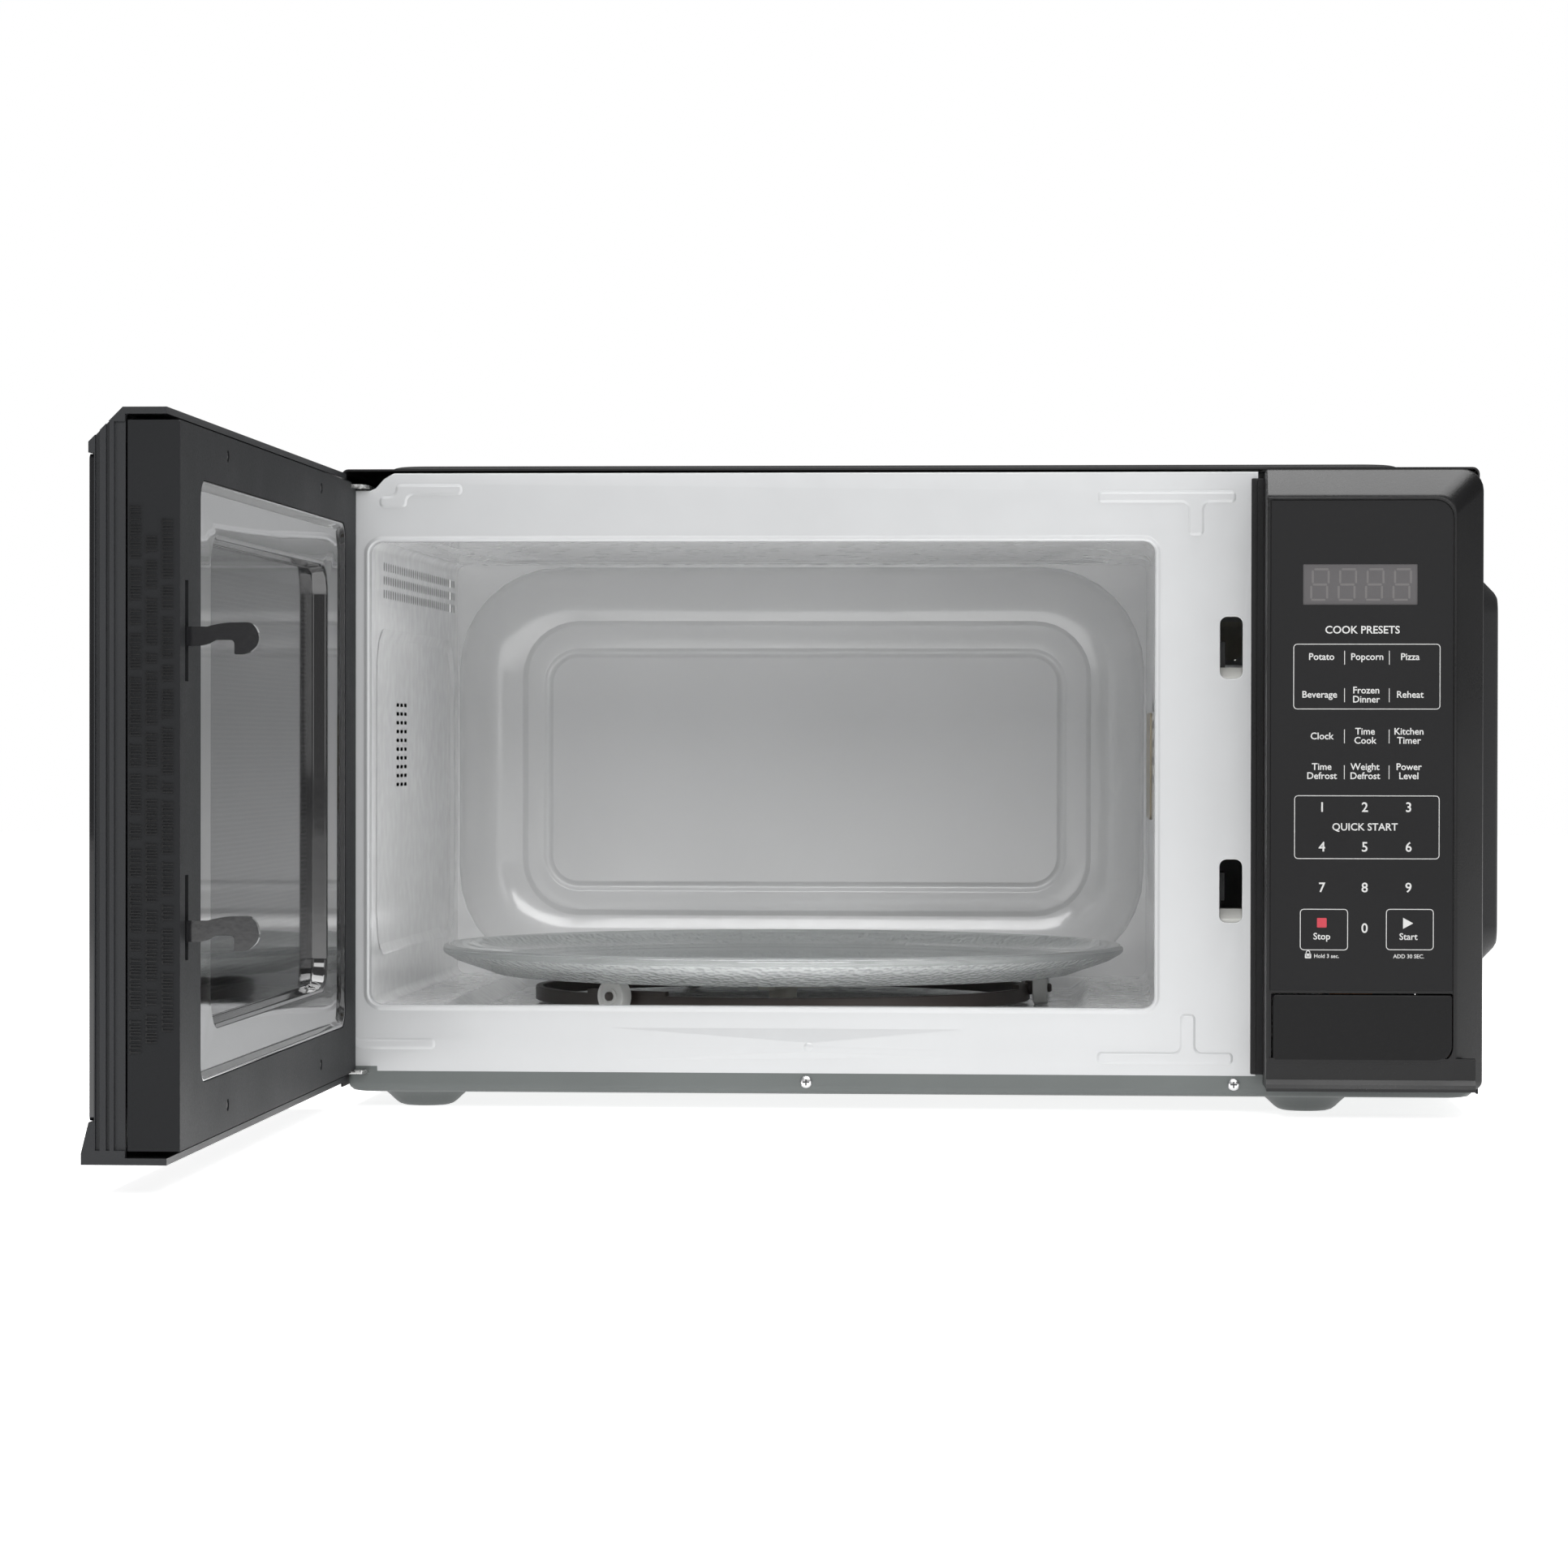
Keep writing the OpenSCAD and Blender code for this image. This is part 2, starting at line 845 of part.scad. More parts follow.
module capacitor_clamp() {
  color([0.65, 0.66, 0.67])
  place()
    difference() {
      union() {
        ypush(134, 150) {
          rect(160, 178, 12.6, 47.4);
          for (x = [160, 178])
            translate([x, 30])
              circle(17.4);
        }
        bx(130, 160, 134, 150, 8.4, 13.6);
      }
      bx(160, 178, 130, 155, 13.7, 46.3);
      for (x = [160, 178])
        ycyl(x, 30, 16.3, 130, 155);
      bx(128, 141, 130, 155, 9.6, 15);
    }
}

module hv_diode() {
  color([0.1, 0.1, 0.1])
  place() {
    ycyl(210, 26, 3.5, 110, 126);
    ycyl(210, 26, 0.8, 98, 140);
    bx(206, 214, 139, 142, 9, 30);
  }
}

module fan_shroud() {
  color([0.8, 0.8, 0.78])
  place()
    difference() {
      bx(114, 238, 312, 320, 100, 218);
      bx(116.5, 235.5, 310, 317.5, 102.5, 215.5);
      ycyl(fan_x, fan_z, 48, 310, 322);
    }
}

module fan_motor() {
  color([0.45, 0.42, 0.4])
  place()
    difference() {
      union() {
        bx(fan_x - 24, fan_x + 24, 324, 336, fan_z - 18, fan_z + 30);
        bx(fan_x - 15, fan_x + 15, 320.2, 339, fan_z - 40, fan_z - 17);
        for (s = [-1, 1])
          bx(fan_x + s * 40 - 18, fan_x + s * 40 + 18, 322, 324.1, fan_z - 3, fan_z + 3);
        for (s = [-1, 1])
          bx(fan_x + s * 54 - 4, fan_x + s * 54 + 4, 320.1, 324, fan_z - 3, fan_z + 3);
      }
      ycyl(fan_x, fan_z, 2.06, 318, 337);
    }
}

module fan_rotor() {
  color([0.55, 0.56, 0.55])
  place()
    translate([fan_x, 0, fan_z]) {
      ycyl(0, 0, 2, 300, 334);
      ycyl(0, 0, 13, 292, 318);
      for (a = [0 : 51.4285714 : 309])
        rotate([0, a, 0])
          translate([0, 305, 0])
            rotate([0, 0, 90])
              intersection() {
                translate([-11, -8, 10])
                  rotate([0, 0, 32])
                    cube([22, 1.6, 34]);
                cube([24, 60, 100], center = true);
              }
    }
}

module air_duct() {
  color([0.85, 0.85, 0.82])
  place()
    difference() {
      bx(ix1 + sheet + 0.1, 200, 78, 132, 130, 190);
      bx(ix1, 198.4, 79.6, 140, 131.6, 188.4);
      bx(ix1, 138, 128, 140, 129, 192);
    }
}

module filter_board() {
  color([0.5, 0.4, 0.15])
  place() {
    bx(120, 190, 270, 308, 222, 223.6);
    difference() {
      zcyl(140, 289, 12, 223.5, 237);
      zcyl(140, 289, 6, 222, 240);
    }
    bx(158, 172, 275, 300, 223.5, 236);
  }
}

module line_fuse() {
  color([0.85, 0.85, 0.85])
  place() {
    ycyl(181, 230, 3, 276, 302);
    for (y = [276, 298])
      bx(177, 185, y, y + 4, 223.7, 230);
  }
}

// ---------------------------------------------------------------- door, drawn shut

module hinge_pockets() {
  zcyl(hx, hy, 12, 266.6, 271.2);
  zcyl(hx, hy, 12, 14.2, 17.3);
}

module door_shell() {
  color([0.13, 0.135, 0.145])
  swing()
    difference() {
      xpush(dx0, dx1)
        polygon([[-6, dz0], [-36, dz0], [-36, dz0 + 4], [-door_t, dz0 + 14.5],
                 [-door_t, dz0 + 14.8], [-31.4, dz0 + 14.8], [-31.4, dz1 - 15.8],
                 [-door_t, dz1 - 15.8], [-door_t, dz1 - 12], [-door_t + 12, dz1],
                 [-6, dz1]]);
      xpush(dx0 + 2.4, dx1 - 2.4)
        polygon([[0, dz0 + 2.4], [-29, dz0 + 2.4], [-29, dz1 - 14.5],
                 [-20.2, dz1 - 2.4], [0, dz1 - 2.4]]);
      // window in the front wall
      ypush(-40, -20)
        rrect(-200, 100, 52, 236, 6);
      // free edge: two standing ribs between the caps
      bx(dx1 - 1.3, dx1 + 1, -31, -29.4, dz0 + 5, dz1 - 5);
      bx(dx1 - 1.3, dx1 + 1, -27.2, -26, dz0 + 5, dz1 - 5);
      bx(dx1 - 1.3, dx1 + 1, -24.4, -20, dz0 + 5, dz1 - 5);
      bx(dx1 - 3, dx1 + 1, -20.6, 0, dz0 + 2.4, dz1 - 2.4);
      // clearance round the hinge plates and sockets
      hinge_pockets();
      for (z = [240, 14.1])
        zcyl(hx, hy, 3, z, z + 30);
    }
}

module door_glass() {
  color([0.05, 0.05, 0.06, 0.6])
  swing()
    ypush(-door_t + 0.1, -31.5)
      rrect(dx0 + 1.5, dx1 - 1.5, dz0 + 15.1, dz1 - 16.1, 2);
}

module door_inner_frame() {
  color([0.14, 0.145, 0.155])
  swing()
    difference() {
      union() {
        ypush(-3.5, -gap)
          rrect(dx0 + 2.5, dx1 - 0.7, dz0 + 4.8, dz1 - 4.5, 1);
        ypush(-9, -2)
          difference() {
            rect(dx0 + 2.6, dx1 - 0.7, dz0 + 4.8, dz1 - 4.5);
            rect(dx0 + 5, dx1 - 3, dz0 + 7, dz1 - 6.7);
          }
        // deep band along the free edge
        bx(dx1 - 2.7, dx1 - 0.7, -19.8, -2, dz0 + 4.8, dz1 - 4.5);
        zcyl(hx, hy, 2.9, 250, 266.5);
        zcyl(hx, hy, 2.9, 17.4, 33);
        // lower anchor of the latch spring
        bx(142, 149, -16, -2, 121, 123.8);
      }
      ypush(-12, 0)
        rrect(-213.5, 113, 37.2, 250.8, 8);
      for (z = [[179, 214.2], [82, 111.7]])
        ypush(-12, 0)
          rect(hook_x0 - 1.2, hook_x1 + 1.2, z[0], z[1]);
      for (x = [-150, 60], z = [25.5, 262])
        ycyl(x, z, 2.3, -3.6, 0);
      hinge_pockets();
      zcyl(hx, hy, 1.65, 10, 275);
    }
}

module door_screws() {
  color([0.08, 0.08, 0.085])
  swing()
    for (x = [-150, 60], z = [25.5, 262]) {
      ycyl(x, z, 2.1, -3.4, -2.2);
      ycyl(x, z, 1.3, -12, -3.3);
    }
}

module panel_step(g) {
  rrect(-178 - g, 81 + g, 56 - g, 231 + g, 12 + g);
}

module door_panel() {
  color([0.03, 0.03, 0.035])
  swing()
    difference() {
      union() {
        ypush(-4.5, -3.6)
          rrect(-226, 124, 30, 258, 10);
        ypush(-11, -4)
          panel_step(0.9);
        // folded choke wall behind the flange
        ypush(-17, -4)
          difference() {
            rrect(-226, 124, 30, 258, 10);
            rrect(-225, 123, 31, 257, 9);
          }
      }
      ypush(-10.1, 0)
        panel_step(0);
      ypush(-20, 0)
        rrect(-168, 71, 66, 221, 8);
    }
}

module door_screen() {
  color([0.1, 0.1, 0.1])
  swing()
    ypush(-12, -11.1)
      rrect(-172, 75, 62, 225, 10);
}

module door_film() {
  color([0.3, 0.3, 0.3, 0.3])
  swing()
    ypush(-10, -9.6)
      rrect(-176.5, 79.5, 57.5, 229.5, 10.5);
}

module latch_hooks() {
  color([0.03, 0.03, 0.035])
  swing() {
    xpush(hook_x0, hook_x1) {
      polygon([[-12, 191.3], [6, 191.3], [9, 193.3], [15.5, 193.3], [15.5, 188.3],
               [20, 188.3], [24.5, 192], [23.5, 197.5], [21, 199.5], [10, 199.3],
               [6, 198], [-12, 198]]);
      polygon([[-12, 88.2], [6, 88.2], [9, 90.2], [15.5, 90.2], [15.5, 85.2],
               [20, 85.2], [24.5, 89], [23.5, 95.5], [21, 97.7], [10, 97.5],
               [6, 95.5], [-12, 95.5]]);
    }
    bx(hook_x0, hook_x1, -16, -11, 84, 204);
    bx(hook_x1 - 0.1, 146, -15, -12, 150, 153);
  }
}

module latch_spring() {
  color([0.6, 0.6, 0.62])
  swing()
    translate([144.2, -13.5, 124])
      rotate_extrude($fn = 32) {
        for (i = [0 : 16])
          translate([1.7, 0.5 + i * 1.5])
            circle(0.5, $fn = 16);
        translate([1.55, 0.4])
          square([0.3, 24.2]);
      }
}

outer_wrapper();
base_pan();
rear_panel();
front_frame();
latch_strip();
cavity_shell();
cavity_back();
wrapper_screws();
front_screws();
rear_bumpers();
upper_hinge();
lower_hinge();
control_frame();
keypad_membrane();
display_window();
control_board();
latch_board();
interlock_switches();
waveguide();
waveguide_cover();
magnetron_yoke();
magnetron_magnets();
magnetron_core();
transformer_core();
transformer_windings();
hv_capacitor();
capacitor_clamp();
hv_diode();
fan_shroud();
fan_motor();
fan_rotor();
air_duct();
oven_lamp();
lamp_holder();
thermal_cutout();
turntable_motor();
motor_cover();
filter_board();
line_fuse();
cord_bushing();
drive_coupler();
glass_tray();
roller_ring();
roller_a();
roller_b();
roller_c();
release_button();
release_lever();
door_shell();
door_glass();
door_inner_frame();
door_panel();
door_screen();
door_film();
door_screws();
latch_hooks();
latch_spring();
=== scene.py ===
"""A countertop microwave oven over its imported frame: pieces, finishes, light and camera."""

import math

import bmesh
import bpy
from mathutils import Matrix, Vector


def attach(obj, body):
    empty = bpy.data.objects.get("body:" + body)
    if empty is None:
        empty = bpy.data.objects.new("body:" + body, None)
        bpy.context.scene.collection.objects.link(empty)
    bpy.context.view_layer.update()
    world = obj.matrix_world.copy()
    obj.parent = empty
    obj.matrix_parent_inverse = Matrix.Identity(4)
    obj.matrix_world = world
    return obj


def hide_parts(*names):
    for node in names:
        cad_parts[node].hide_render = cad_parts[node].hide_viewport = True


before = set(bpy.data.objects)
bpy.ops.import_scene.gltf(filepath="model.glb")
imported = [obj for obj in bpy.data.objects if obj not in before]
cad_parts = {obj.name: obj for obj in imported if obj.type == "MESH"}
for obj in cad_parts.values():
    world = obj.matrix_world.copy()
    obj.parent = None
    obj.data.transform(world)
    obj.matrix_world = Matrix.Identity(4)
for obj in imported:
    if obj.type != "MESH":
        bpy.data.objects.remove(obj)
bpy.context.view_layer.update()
scene = bpy.context.scene

# ------------ places and sizes


def moved(x, y, z):
    return Matrix.Translation((x, y, z))


def turned(degrees, axis):
    return Matrix.Rotation(math.radians(degrees), 4, axis)


def scaled(x, y, z):
    return Matrix.Diagonal((x, y, z, 1))


# Millimetres on the cabinet's own axes: x from mid-width, y back from the front plate, z up.
CABINET = moved(0.008, 0.0225, 0.0) @ Matrix.Scale(0.001, 4)
HINGE_X, HINGE_Y = -240.0, -5.0
# The door is drawn shut and then swung open about its hinge line.
DOOR = CABINET @ moved(HINGE_X, HINGE_Y, 0) @ turned(-90, "Z") @ moved(-HINGE_X, -HINGE_Y, 0)
SAME = Matrix.Identity(4)
# Sheets are drawn standing: x across, z up, y their depth. These lay them down or turn them.
LYING = Matrix(((1, 0, 0, 0), (0, 0, 1, 0), (0, 1, 0, 0), (0, 0, 0, 1)))
SIDEWAYS = Matrix(((0, 1, 0, 0), (1, 0, 0, 0), (0, 0, 1, 0), (0, 0, 0, 1)))
MIRRORED, DOWNWARD = scaled(-1, 1, 1), scaled(1, 1, -1)

CAB_LEFT, CAB_RIGHT, CAB_DEPTH, CAB_TOP = -243.5, 243.5, 344.0, 275.5
MOUTH = (-231.0, 106.0, 45.0, 244.0)
INSIDE = (-232.5, 107.5, 43.5, 245.5)
# The rear wall starts at WALL_END and is DISH deep; the left wall's recess is RECESS deep.
WALL_END, DISH, RECESS = 298.0, 28.0, 1.6
# Turntable: its centre, the well it stands in, and the heights of tray, ring and axles.
TABLE_X, TABLE_Y = -62.5, 162.0
WELL_HALF, WELL_FRONT, WELL_BACK, WELL_DEPTH = 142.1, 14, 296, 5.6
TRAY_Z, RING_Z, AXLE_Z = 53.2, 39.8, 45.5
AXLE_TURNS = (-5, 115, 235)
AXLE_REACH, LAND_SWEEP = 120, 0.4
# Depths of the control panel: its face, the keypad's seat, its film and its printing.
PANEL_FACE, SEAT, FILM, PRINT = -33.4, -32.2, -32.3, -32.95
# Height of the base's sheet over the table.
PAN_SHEET = 7.2

# ------------ shader numbers and finishes


class Num:
    """A number in a finish. Arithmetic on it adds Math nodes."""

    def __init__(self, look, socket):
        self.look = look
        self.socket = socket

    def math(self, operation, *values):
        node = self.look.add("ShaderNodeMath", {"operation": operation}, dict(enumerate(values)))
        return Num(self.look, node.outputs[0])

    def __add__(self, other):
        return self.math("ADD", self, other)

    __radd__ = __add__

    def __mul__(self, other):
        return self.math("MULTIPLY", self, other)

    __rmul__ = __mul__

    def __sub__(self, other):
        return self.math("SUBTRACT", self, other)

    def __rsub__(self, other):
        return self.math("SUBTRACT", other, self)

    def __truediv__(self, other):
        return self.math("DIVIDE", self, other)

    def over(self, edge):
        """1 where the number is over an edge."""
        return self.math("GREATER_THAN", self, edge)

    def fract(self):
        return self.math("FRACT", self)

    def size(self):
        return self.math("ABSOLUTE", self)

    def root(self):
        return self.math("SQRT", self)

    def most(self, other):
        return self.math("MAXIMUM", self, other)


class Look:
    """The node tree of one finish."""

    def __init__(self, name):
        self.name = name
        self.material = bpy.data.materials.new(name)
        self.material.use_nodes = True
        self.tree = self.material.node_tree
        self.tree.nodes.clear()
        self.shader = self.add("ShaderNodeBsdfPrincipled")
        self.add("ShaderNodeOutputMaterial", None, {"Surface": self.shader.outputs[0]})
        self.place = self.add("ShaderNodeTexCoord").outputs["Object"]

    def feed(self, socket, value):
        if isinstance(value, Num):
            value = value.socket
        if isinstance(value, bpy.types.NodeSocket):
            self.tree.links.new(value, socket)
        else:
            socket.default_value = value

    def add(self, kind, settings=None, sockets=None):
        node = self.tree.nodes.new(kind)
        for name, value in (settings or {}).items():
            setattr(node, name, value)
        for name, value in (sockets or {}).items():
            self.feed(node.inputs[name], value)
        return node

    def noise(self, scale, detail=2.0, rough=0.5, stretch=None):
        place = self.place
        if stretch:
            turn = self.add("ShaderNodeMapping", None, {"Vector": place, "Scale": stretch})
            place = turn.outputs[0]
        node = self.add(
            "ShaderNodeTexNoise",
            {"noise_dimensions": "3D"},
            {"Vector": place, "Scale": scale, "Detail": detail, "Roughness": rough},
        )
        return Num(self, node.outputs["Fac"])

    def cells(self, scale, feature="DISTANCE_TO_EDGE"):
        node = self.add("ShaderNodeTexVoronoi", {"feature": feature},
                        {"Vector": self.place, "Scale": scale})
        return Num(self, node.outputs["Distance"])

    def axes(self):
        """The three coordinates on the piece, in metres."""
        node = self.add("ShaderNodeSeparateXYZ", None, {0: self.place})
        return [Num(self, node.outputs[i]) for i in range(3)]

    def band(self, value, low, high, a=0.0, b=1.0):
        """Carries a number from one range to another, held at its ends."""
        node = self.add(
            "ShaderNodeMapRange",
            {"clamp": True},
            {"Value": value, "From Min": low, "From Max": high, "To Min": a, "To Max": b},
        )
        return Num(self, node.outputs[0])

    def blend(self, share, first, second):
        """A colour between two."""
        node = self.add("ShaderNodeMix", {"data_type": "RGBA"}, {0: share, 6: first, 7: second})
        return node.outputs[2]

    def bump(self, height, depth):
        """A bump whose height 1 stands depth metres high."""
        sockets = {"Height": height, "Distance": depth, "Strength": 1.0}
        return self.add("ShaderNodeBump", None, sockets).outputs[0]

    def set(self, **values):
        for name, value in values.items():
            self.feed(self.shader.inputs[name.replace("_", " ")], value)


def rgba(colour, share=1.0):
    return tuple(min(1.0, c * share) for c in colour) + (1.0,)


def surface(name, colour, rough, metal=0.0, grain=900.0, depth=0.00004, mottle=12.0,
            shade=0.12, wander=0.08, **fixed):
    """A finish with cloudy colour, wandering roughness and a fine raised grain."""
    look = Look(name)
    cloud = look.noise(mottle, 3.0)
    fine = look.noise(grain, 2.0)
    cloudy = look.band(cloud, 0.3, 0.7)
    look.set(Base_Color=look.blend(cloudy, rgba(colour, 1 - shade), rgba(colour, 1 + shade)))
    worn = cloud * 0.6 + fine * 0.4
    look.set(Roughness=look.band(worn, 0.3, 0.7, rough - wander, rough + wander))
    look.set(Metallic=metal, Normal=look.bump(fine, depth))
    look.set(**fixed)
    return look


def brushed(name, colour, rough, stretch=(400.0, 30.0, 400.0)):
    """Bare metal with fine lines left by rolling."""
    look = Look(name)
    lines = look.noise(4.0, 2.0, 0.6, stretch)
    cloud = look.noise(18.0, 3.0)
    look.set(Base_Color=look.blend(cloud, rgba(colour, 0.82), rgba(colour, 1.08)))
    look.set(Roughness=look.band(lines, 0.3, 0.7, rough - 0.1, rough + 0.12), Metallic=1.0)
    look.set(Normal=look.bump(lines, 0.00002))
    return look


def enamel(name, colour, rough, gloss=0.5):
    """Baked enamel: a smooth glossy skin with a very slight orange peel."""
    look = Look(name)
    peel = look.noise(120.0, 1.0)
    cloud = look.noise(6.0, 2.0)
    speck = look.band(look.cells(900.0, "F1"), 0.0, 0.12, 0.9, 1.0)
    tint = look.blend(look.band(cloud, 0.3, 0.7), rgba(colour, 0.96), rgba(colour, 1.03))
    look.set(Base_Color=look.blend(speck, rgba(colour, 0.8), tint))
    look.set(Roughness=look.band(peel, 0.3, 0.7, rough - 0.03, rough + 0.04))
    look.set(Normal=look.bump(peel, 0.00005), Coat_Weight=gloss, Coat_Roughness=0.08)
    return look


def perforated(name):
    """Black steel with close rows of small round holes, seen on the open door."""
    look = Look(name)
    _, along, up = look.axes()
    pitch = 0.0021
    row = up / (pitch * 0.866)
    stagger = (row * 0.5).fract().over(0.5) * 0.5
    across = ((along / pitch + stagger).fract() - 0.5) * pitch
    rise = (row.fract() - 0.5) * (pitch * 0.866)
    away = (across * across + rise * rise).root()
    hole = look.band(away, 0.00058, 0.00072)
    look.set(Base_Color=look.blend(hole, (0.002, 0.002, 0.002, 1), (0.035, 0.036, 0.038, 1)))
    look.set(Roughness=look.band(hole, 0, 1, 0.9, 0.3), Metallic=hole * 0.6)
    look.set(Normal=look.bump(hole, 0.0003))
    return look


def wound(name, colour, pitch=0.0007):
    """Varnished wire wound in level turns, with painted shade on the flanks of each turn."""
    look = Look(name)
    _, _, up = look.axes()
    turn = (up / pitch).fract() - 0.5
    crown = (0.25 - turn * turn).most(0.0).root() * 2
    cloud = look.noise(60.0, 3.0)
    tint = look.blend(cloud, rgba(colour, 0.7), rgba(colour, 1.2))
    # Painted shade: where each turn's crown falls away, the wire's colour drops to a fifth.
    look.set(Base_Color=look.blend(look.band(crown, 0.2, 0.8), rgba(colour, 0.2), tint))
    look.set(Roughness=look.band(cloud, 0.3, 0.7, 0.22, 0.4), Metallic=0.7)
    look.set(Normal=look.bump(crown, 0.0002))
    return look


def laminated(name, colour, pitch=0.0006):
    """Stacked thin steel sheets."""
    look = Look(name)
    along, _, _ = look.axes()
    edge = ((along / pitch).fract() - 0.5).size()
    cloud = look.noise(30.0, 3.0)
    look.set(Base_Color=look.blend(look.band(edge, 0.3, 0.5), rgba(colour, 1.1), rgba(colour, 0.4)))
    look.set(Roughness=look.band(cloud, 0.3, 0.7, 0.35, 0.6), Metallic=0.8)
    look.set(Normal=look.bump(1 - edge, 0.0001))
    return look


def circuit(name):
    """Green board with copper tracks under its mask and pale pads."""
    look = Look(name)
    tracks = look.band(look.cells(160.0), 0.03, 0.06)
    pads = look.band(look.cells(220.0, "F1"), 0.1, 0.14)
    cloud = look.noise(30.0, 2.0)
    mask = look.blend(tracks, (0.02, 0.16, 0.06, 1), (0.008, 0.08, 0.03, 1))
    look.set(Base_Color=look.blend(pads, (0.55, 0.52, 0.42, 1), mask))
    look.set(Roughness=look.band(cloud, 0.3, 0.7, 0.25, 0.4))
    look.set(Normal=look.bump(tracks, 0.00004), Coat_Weight=0.4)
    return look


def clear(name, colour, rough, grain=0.0, depth=0.0, share=1.0, **fixed):
    """Clear or tinted glass; grain gives a hammered underside."""
    look = Look(name)
    cloud = look.noise(8.0, 2.0)
    look.set(Base_Color=rgba(colour), IOR=1.48, Transmission_Weight=share)
    look.set(Roughness=look.band(cloud, 0.3, 0.7, rough * 0.6, rough * 1.4))
    if grain:
        lumps = look.band(look.cells(grain, "SMOOTH_F1"), 0.0, 0.7)
        look.set(Normal=look.bump(lumps, depth))
    look.set(**fixed)
    return look


def make_finishes():
    """Every finish of the oven, by the name of its slot in the record where it has one."""
    looks = [
        surface("cabinet_paint", (0.006, 0.006, 0.0066), 0.5, grain=1500, depth=0.00005,
                Specular_IOR_Level=0.25),
        surface("base_paint", (0.09, 0.099, 0.097), 0.5, 0.1, grain=1200, depth=0.00004),
        brushed("rear_steel", (0.5, 0.51, 0.52), 0.42),
        # One white enamel twice: the cavity's copy is far lighter than the front plate's, painted
        # light making up for the shade inside the cavity.
        enamel("enamel", (0.44, 0.446, 0.452), 0.22),
        enamel("cavity_enamel", (0.8, 0.804, 0.808), 0.2, 0.6),
        brushed("screw_steel", (0.62, 0.62, 0.63), 0.22, (60.0, 60.0, 60.0)),
        brushed("hinge_zinc", (0.66, 0.66, 0.65), 0.26, (120.0, 120.0, 120.0)),
        surface("bumper_rubber", (0.018, 0.018, 0.018), 0.8, grain=800),
        surface("panel_plastic", (0.003, 0.003, 0.0033), 0.32, grain=1600, depth=0.00003,
                Specular_IOR_Level=0.27),
        surface("keypad_film", (0.0045, 0.0045, 0.005), 0.45, grain=2600, depth=0.00002, shade=0.04,
                Specular_IOR_Level=0.17),
        surface("display_tint", (0.052, 0.049, 0.051), 0.3, grain=2000, depth=0.00001, shade=0.03),
        surface("segment_grey", (0.082, 0.077, 0.077), 0.35, grain=2000, depth=0.00001, shade=0.03),
        surface("legend_print", (0.42, 0.42, 0.415), 0.6, grain=3000, depth=0.00001, shade=0.05),
        surface("stop_print", (0.34, 0.015, 0.03), 0.55, grain=3000, depth=0.00001, shade=0.05),
        circuit("circuit_board"),
        surface("grey_plastic", (0.42, 0.42, 0.4), 0.5, grain=1400),
        surface("switch_plastic", (0.02, 0.02, 0.022), 0.45, grain=1400),
        brushed("galvanised", (0.55, 0.57, 0.59), 0.38, (90.0, 90.0, 90.0)),
        surface("mica", (0.36, 0.31, 0.22), 0.4, grain=200, shade=0.3, Coat_Weight=0.3),
        surface("magnet_ferrite", (0.03, 0.03, 0.033), 0.6, grain=500),
        brushed("fin_aluminium", (0.75, 0.76, 0.77), 0.3, (20.0, 20.0, 900.0)),
        laminated("core_steel", (0.2, 0.2, 0.21)),
        wound("winding", (0.5, 0.2, 0.07)),
        brushed("can_aluminium", (0.7, 0.71, 0.72), 0.3, (200.0, 200.0, 20.0)),
        surface("black_epoxy", (0.02, 0.02, 0.02), 0.3, grain=300),
        surface("duct_plastic", (0.5, 0.5, 0.47), 0.5, grain=1000),
        brushed("motor_steel", (0.5, 0.5, 0.5), 0.35, (60.0, 500.0, 60.0)),
        surface("fan_plastic", (0.2, 0.21, 0.21), 0.45, grain=1200),
        clear("lamp_glass", (0.95, 0.95, 0.93), 0.05),
        surface("lamp_ceramic", (0.7, 0.68, 0.63), 0.5, grain=700),
        surface("filter_resin", (0.3, 0.24, 0.12), 0.45, grain=900, shade=0.2),
        surface("fuse_glass", (0.55, 0.56, 0.55), 0.2, grain=900),
        surface("coupler_plastic", (0.62, 0.6, 0.55), 0.4, grain=1300),
        clear("tray_glass", (0.9, 0.925, 0.92), 0.03, share=0.8),
        clear("tray_hammered", (0.8, 0.82, 0.815), 0.14, 420.0, 0.0012, share=0.45),
        surface("ring_plastic", (0.06, 0.048, 0.043), 0.38, grain=1300, shade=0.25),
        surface("roller_plastic", (0.78, 0.78, 0.76), 0.35, grain=1300, shade=0.05),
        surface("button_plastic", (0.002, 0.002, 0.0023), 0.4, grain=1800, depth=0.00003,
                Specular_IOR_Level=0.17),
        surface("lever_plastic", (0.6, 0.6, 0.57), 0.42, grain=1300),
        surface("door_plastic", (0.017, 0.0178, 0.0195), 0.45, grain=1700, depth=0.00005,
                shade=0.08, Specular_IOR_Level=0.25),
        surface("trim_plastic", (0.011, 0.0115, 0.0125), 0.55, grain=1700, depth=0.00005,
                shade=0.08, Specular_IOR_Level=0.12),
        surface("door_window_glass", (0.006, 0.006, 0.007), 0.05, grain=300, depth=0.000004,
                wander=0.02, Coat_Weight=0.5),
        surface("panel_enamel", (0.012, 0.012, 0.0125), 0.07, grain=90, depth=0.00003,
                wander=0.02, Coat_Weight=0.8, Coat_Roughness=0.03),
        perforated("screen_metal"),
        clear("inner_film", (0.45, 0.45, 0.46), 0.05, Specular_IOR_Level=0.15),
        surface("door_screw", (0.02, 0.02, 0.022), 0.3, 0.6, grain=500),
        surface("hook_plastic", (0.008, 0.008, 0.009), 0.14, grain=400, depth=0.00003,
                wander=0.04, Coat_Weight=0.5),
        brushed("spring_steel", (0.55, 0.55, 0.56), 0.25, (80.0, 80.0, 80.0)),
    ]
    return {look.name: look.material for look in looks}


FINISH = make_finishes()

# ------------ making shapes


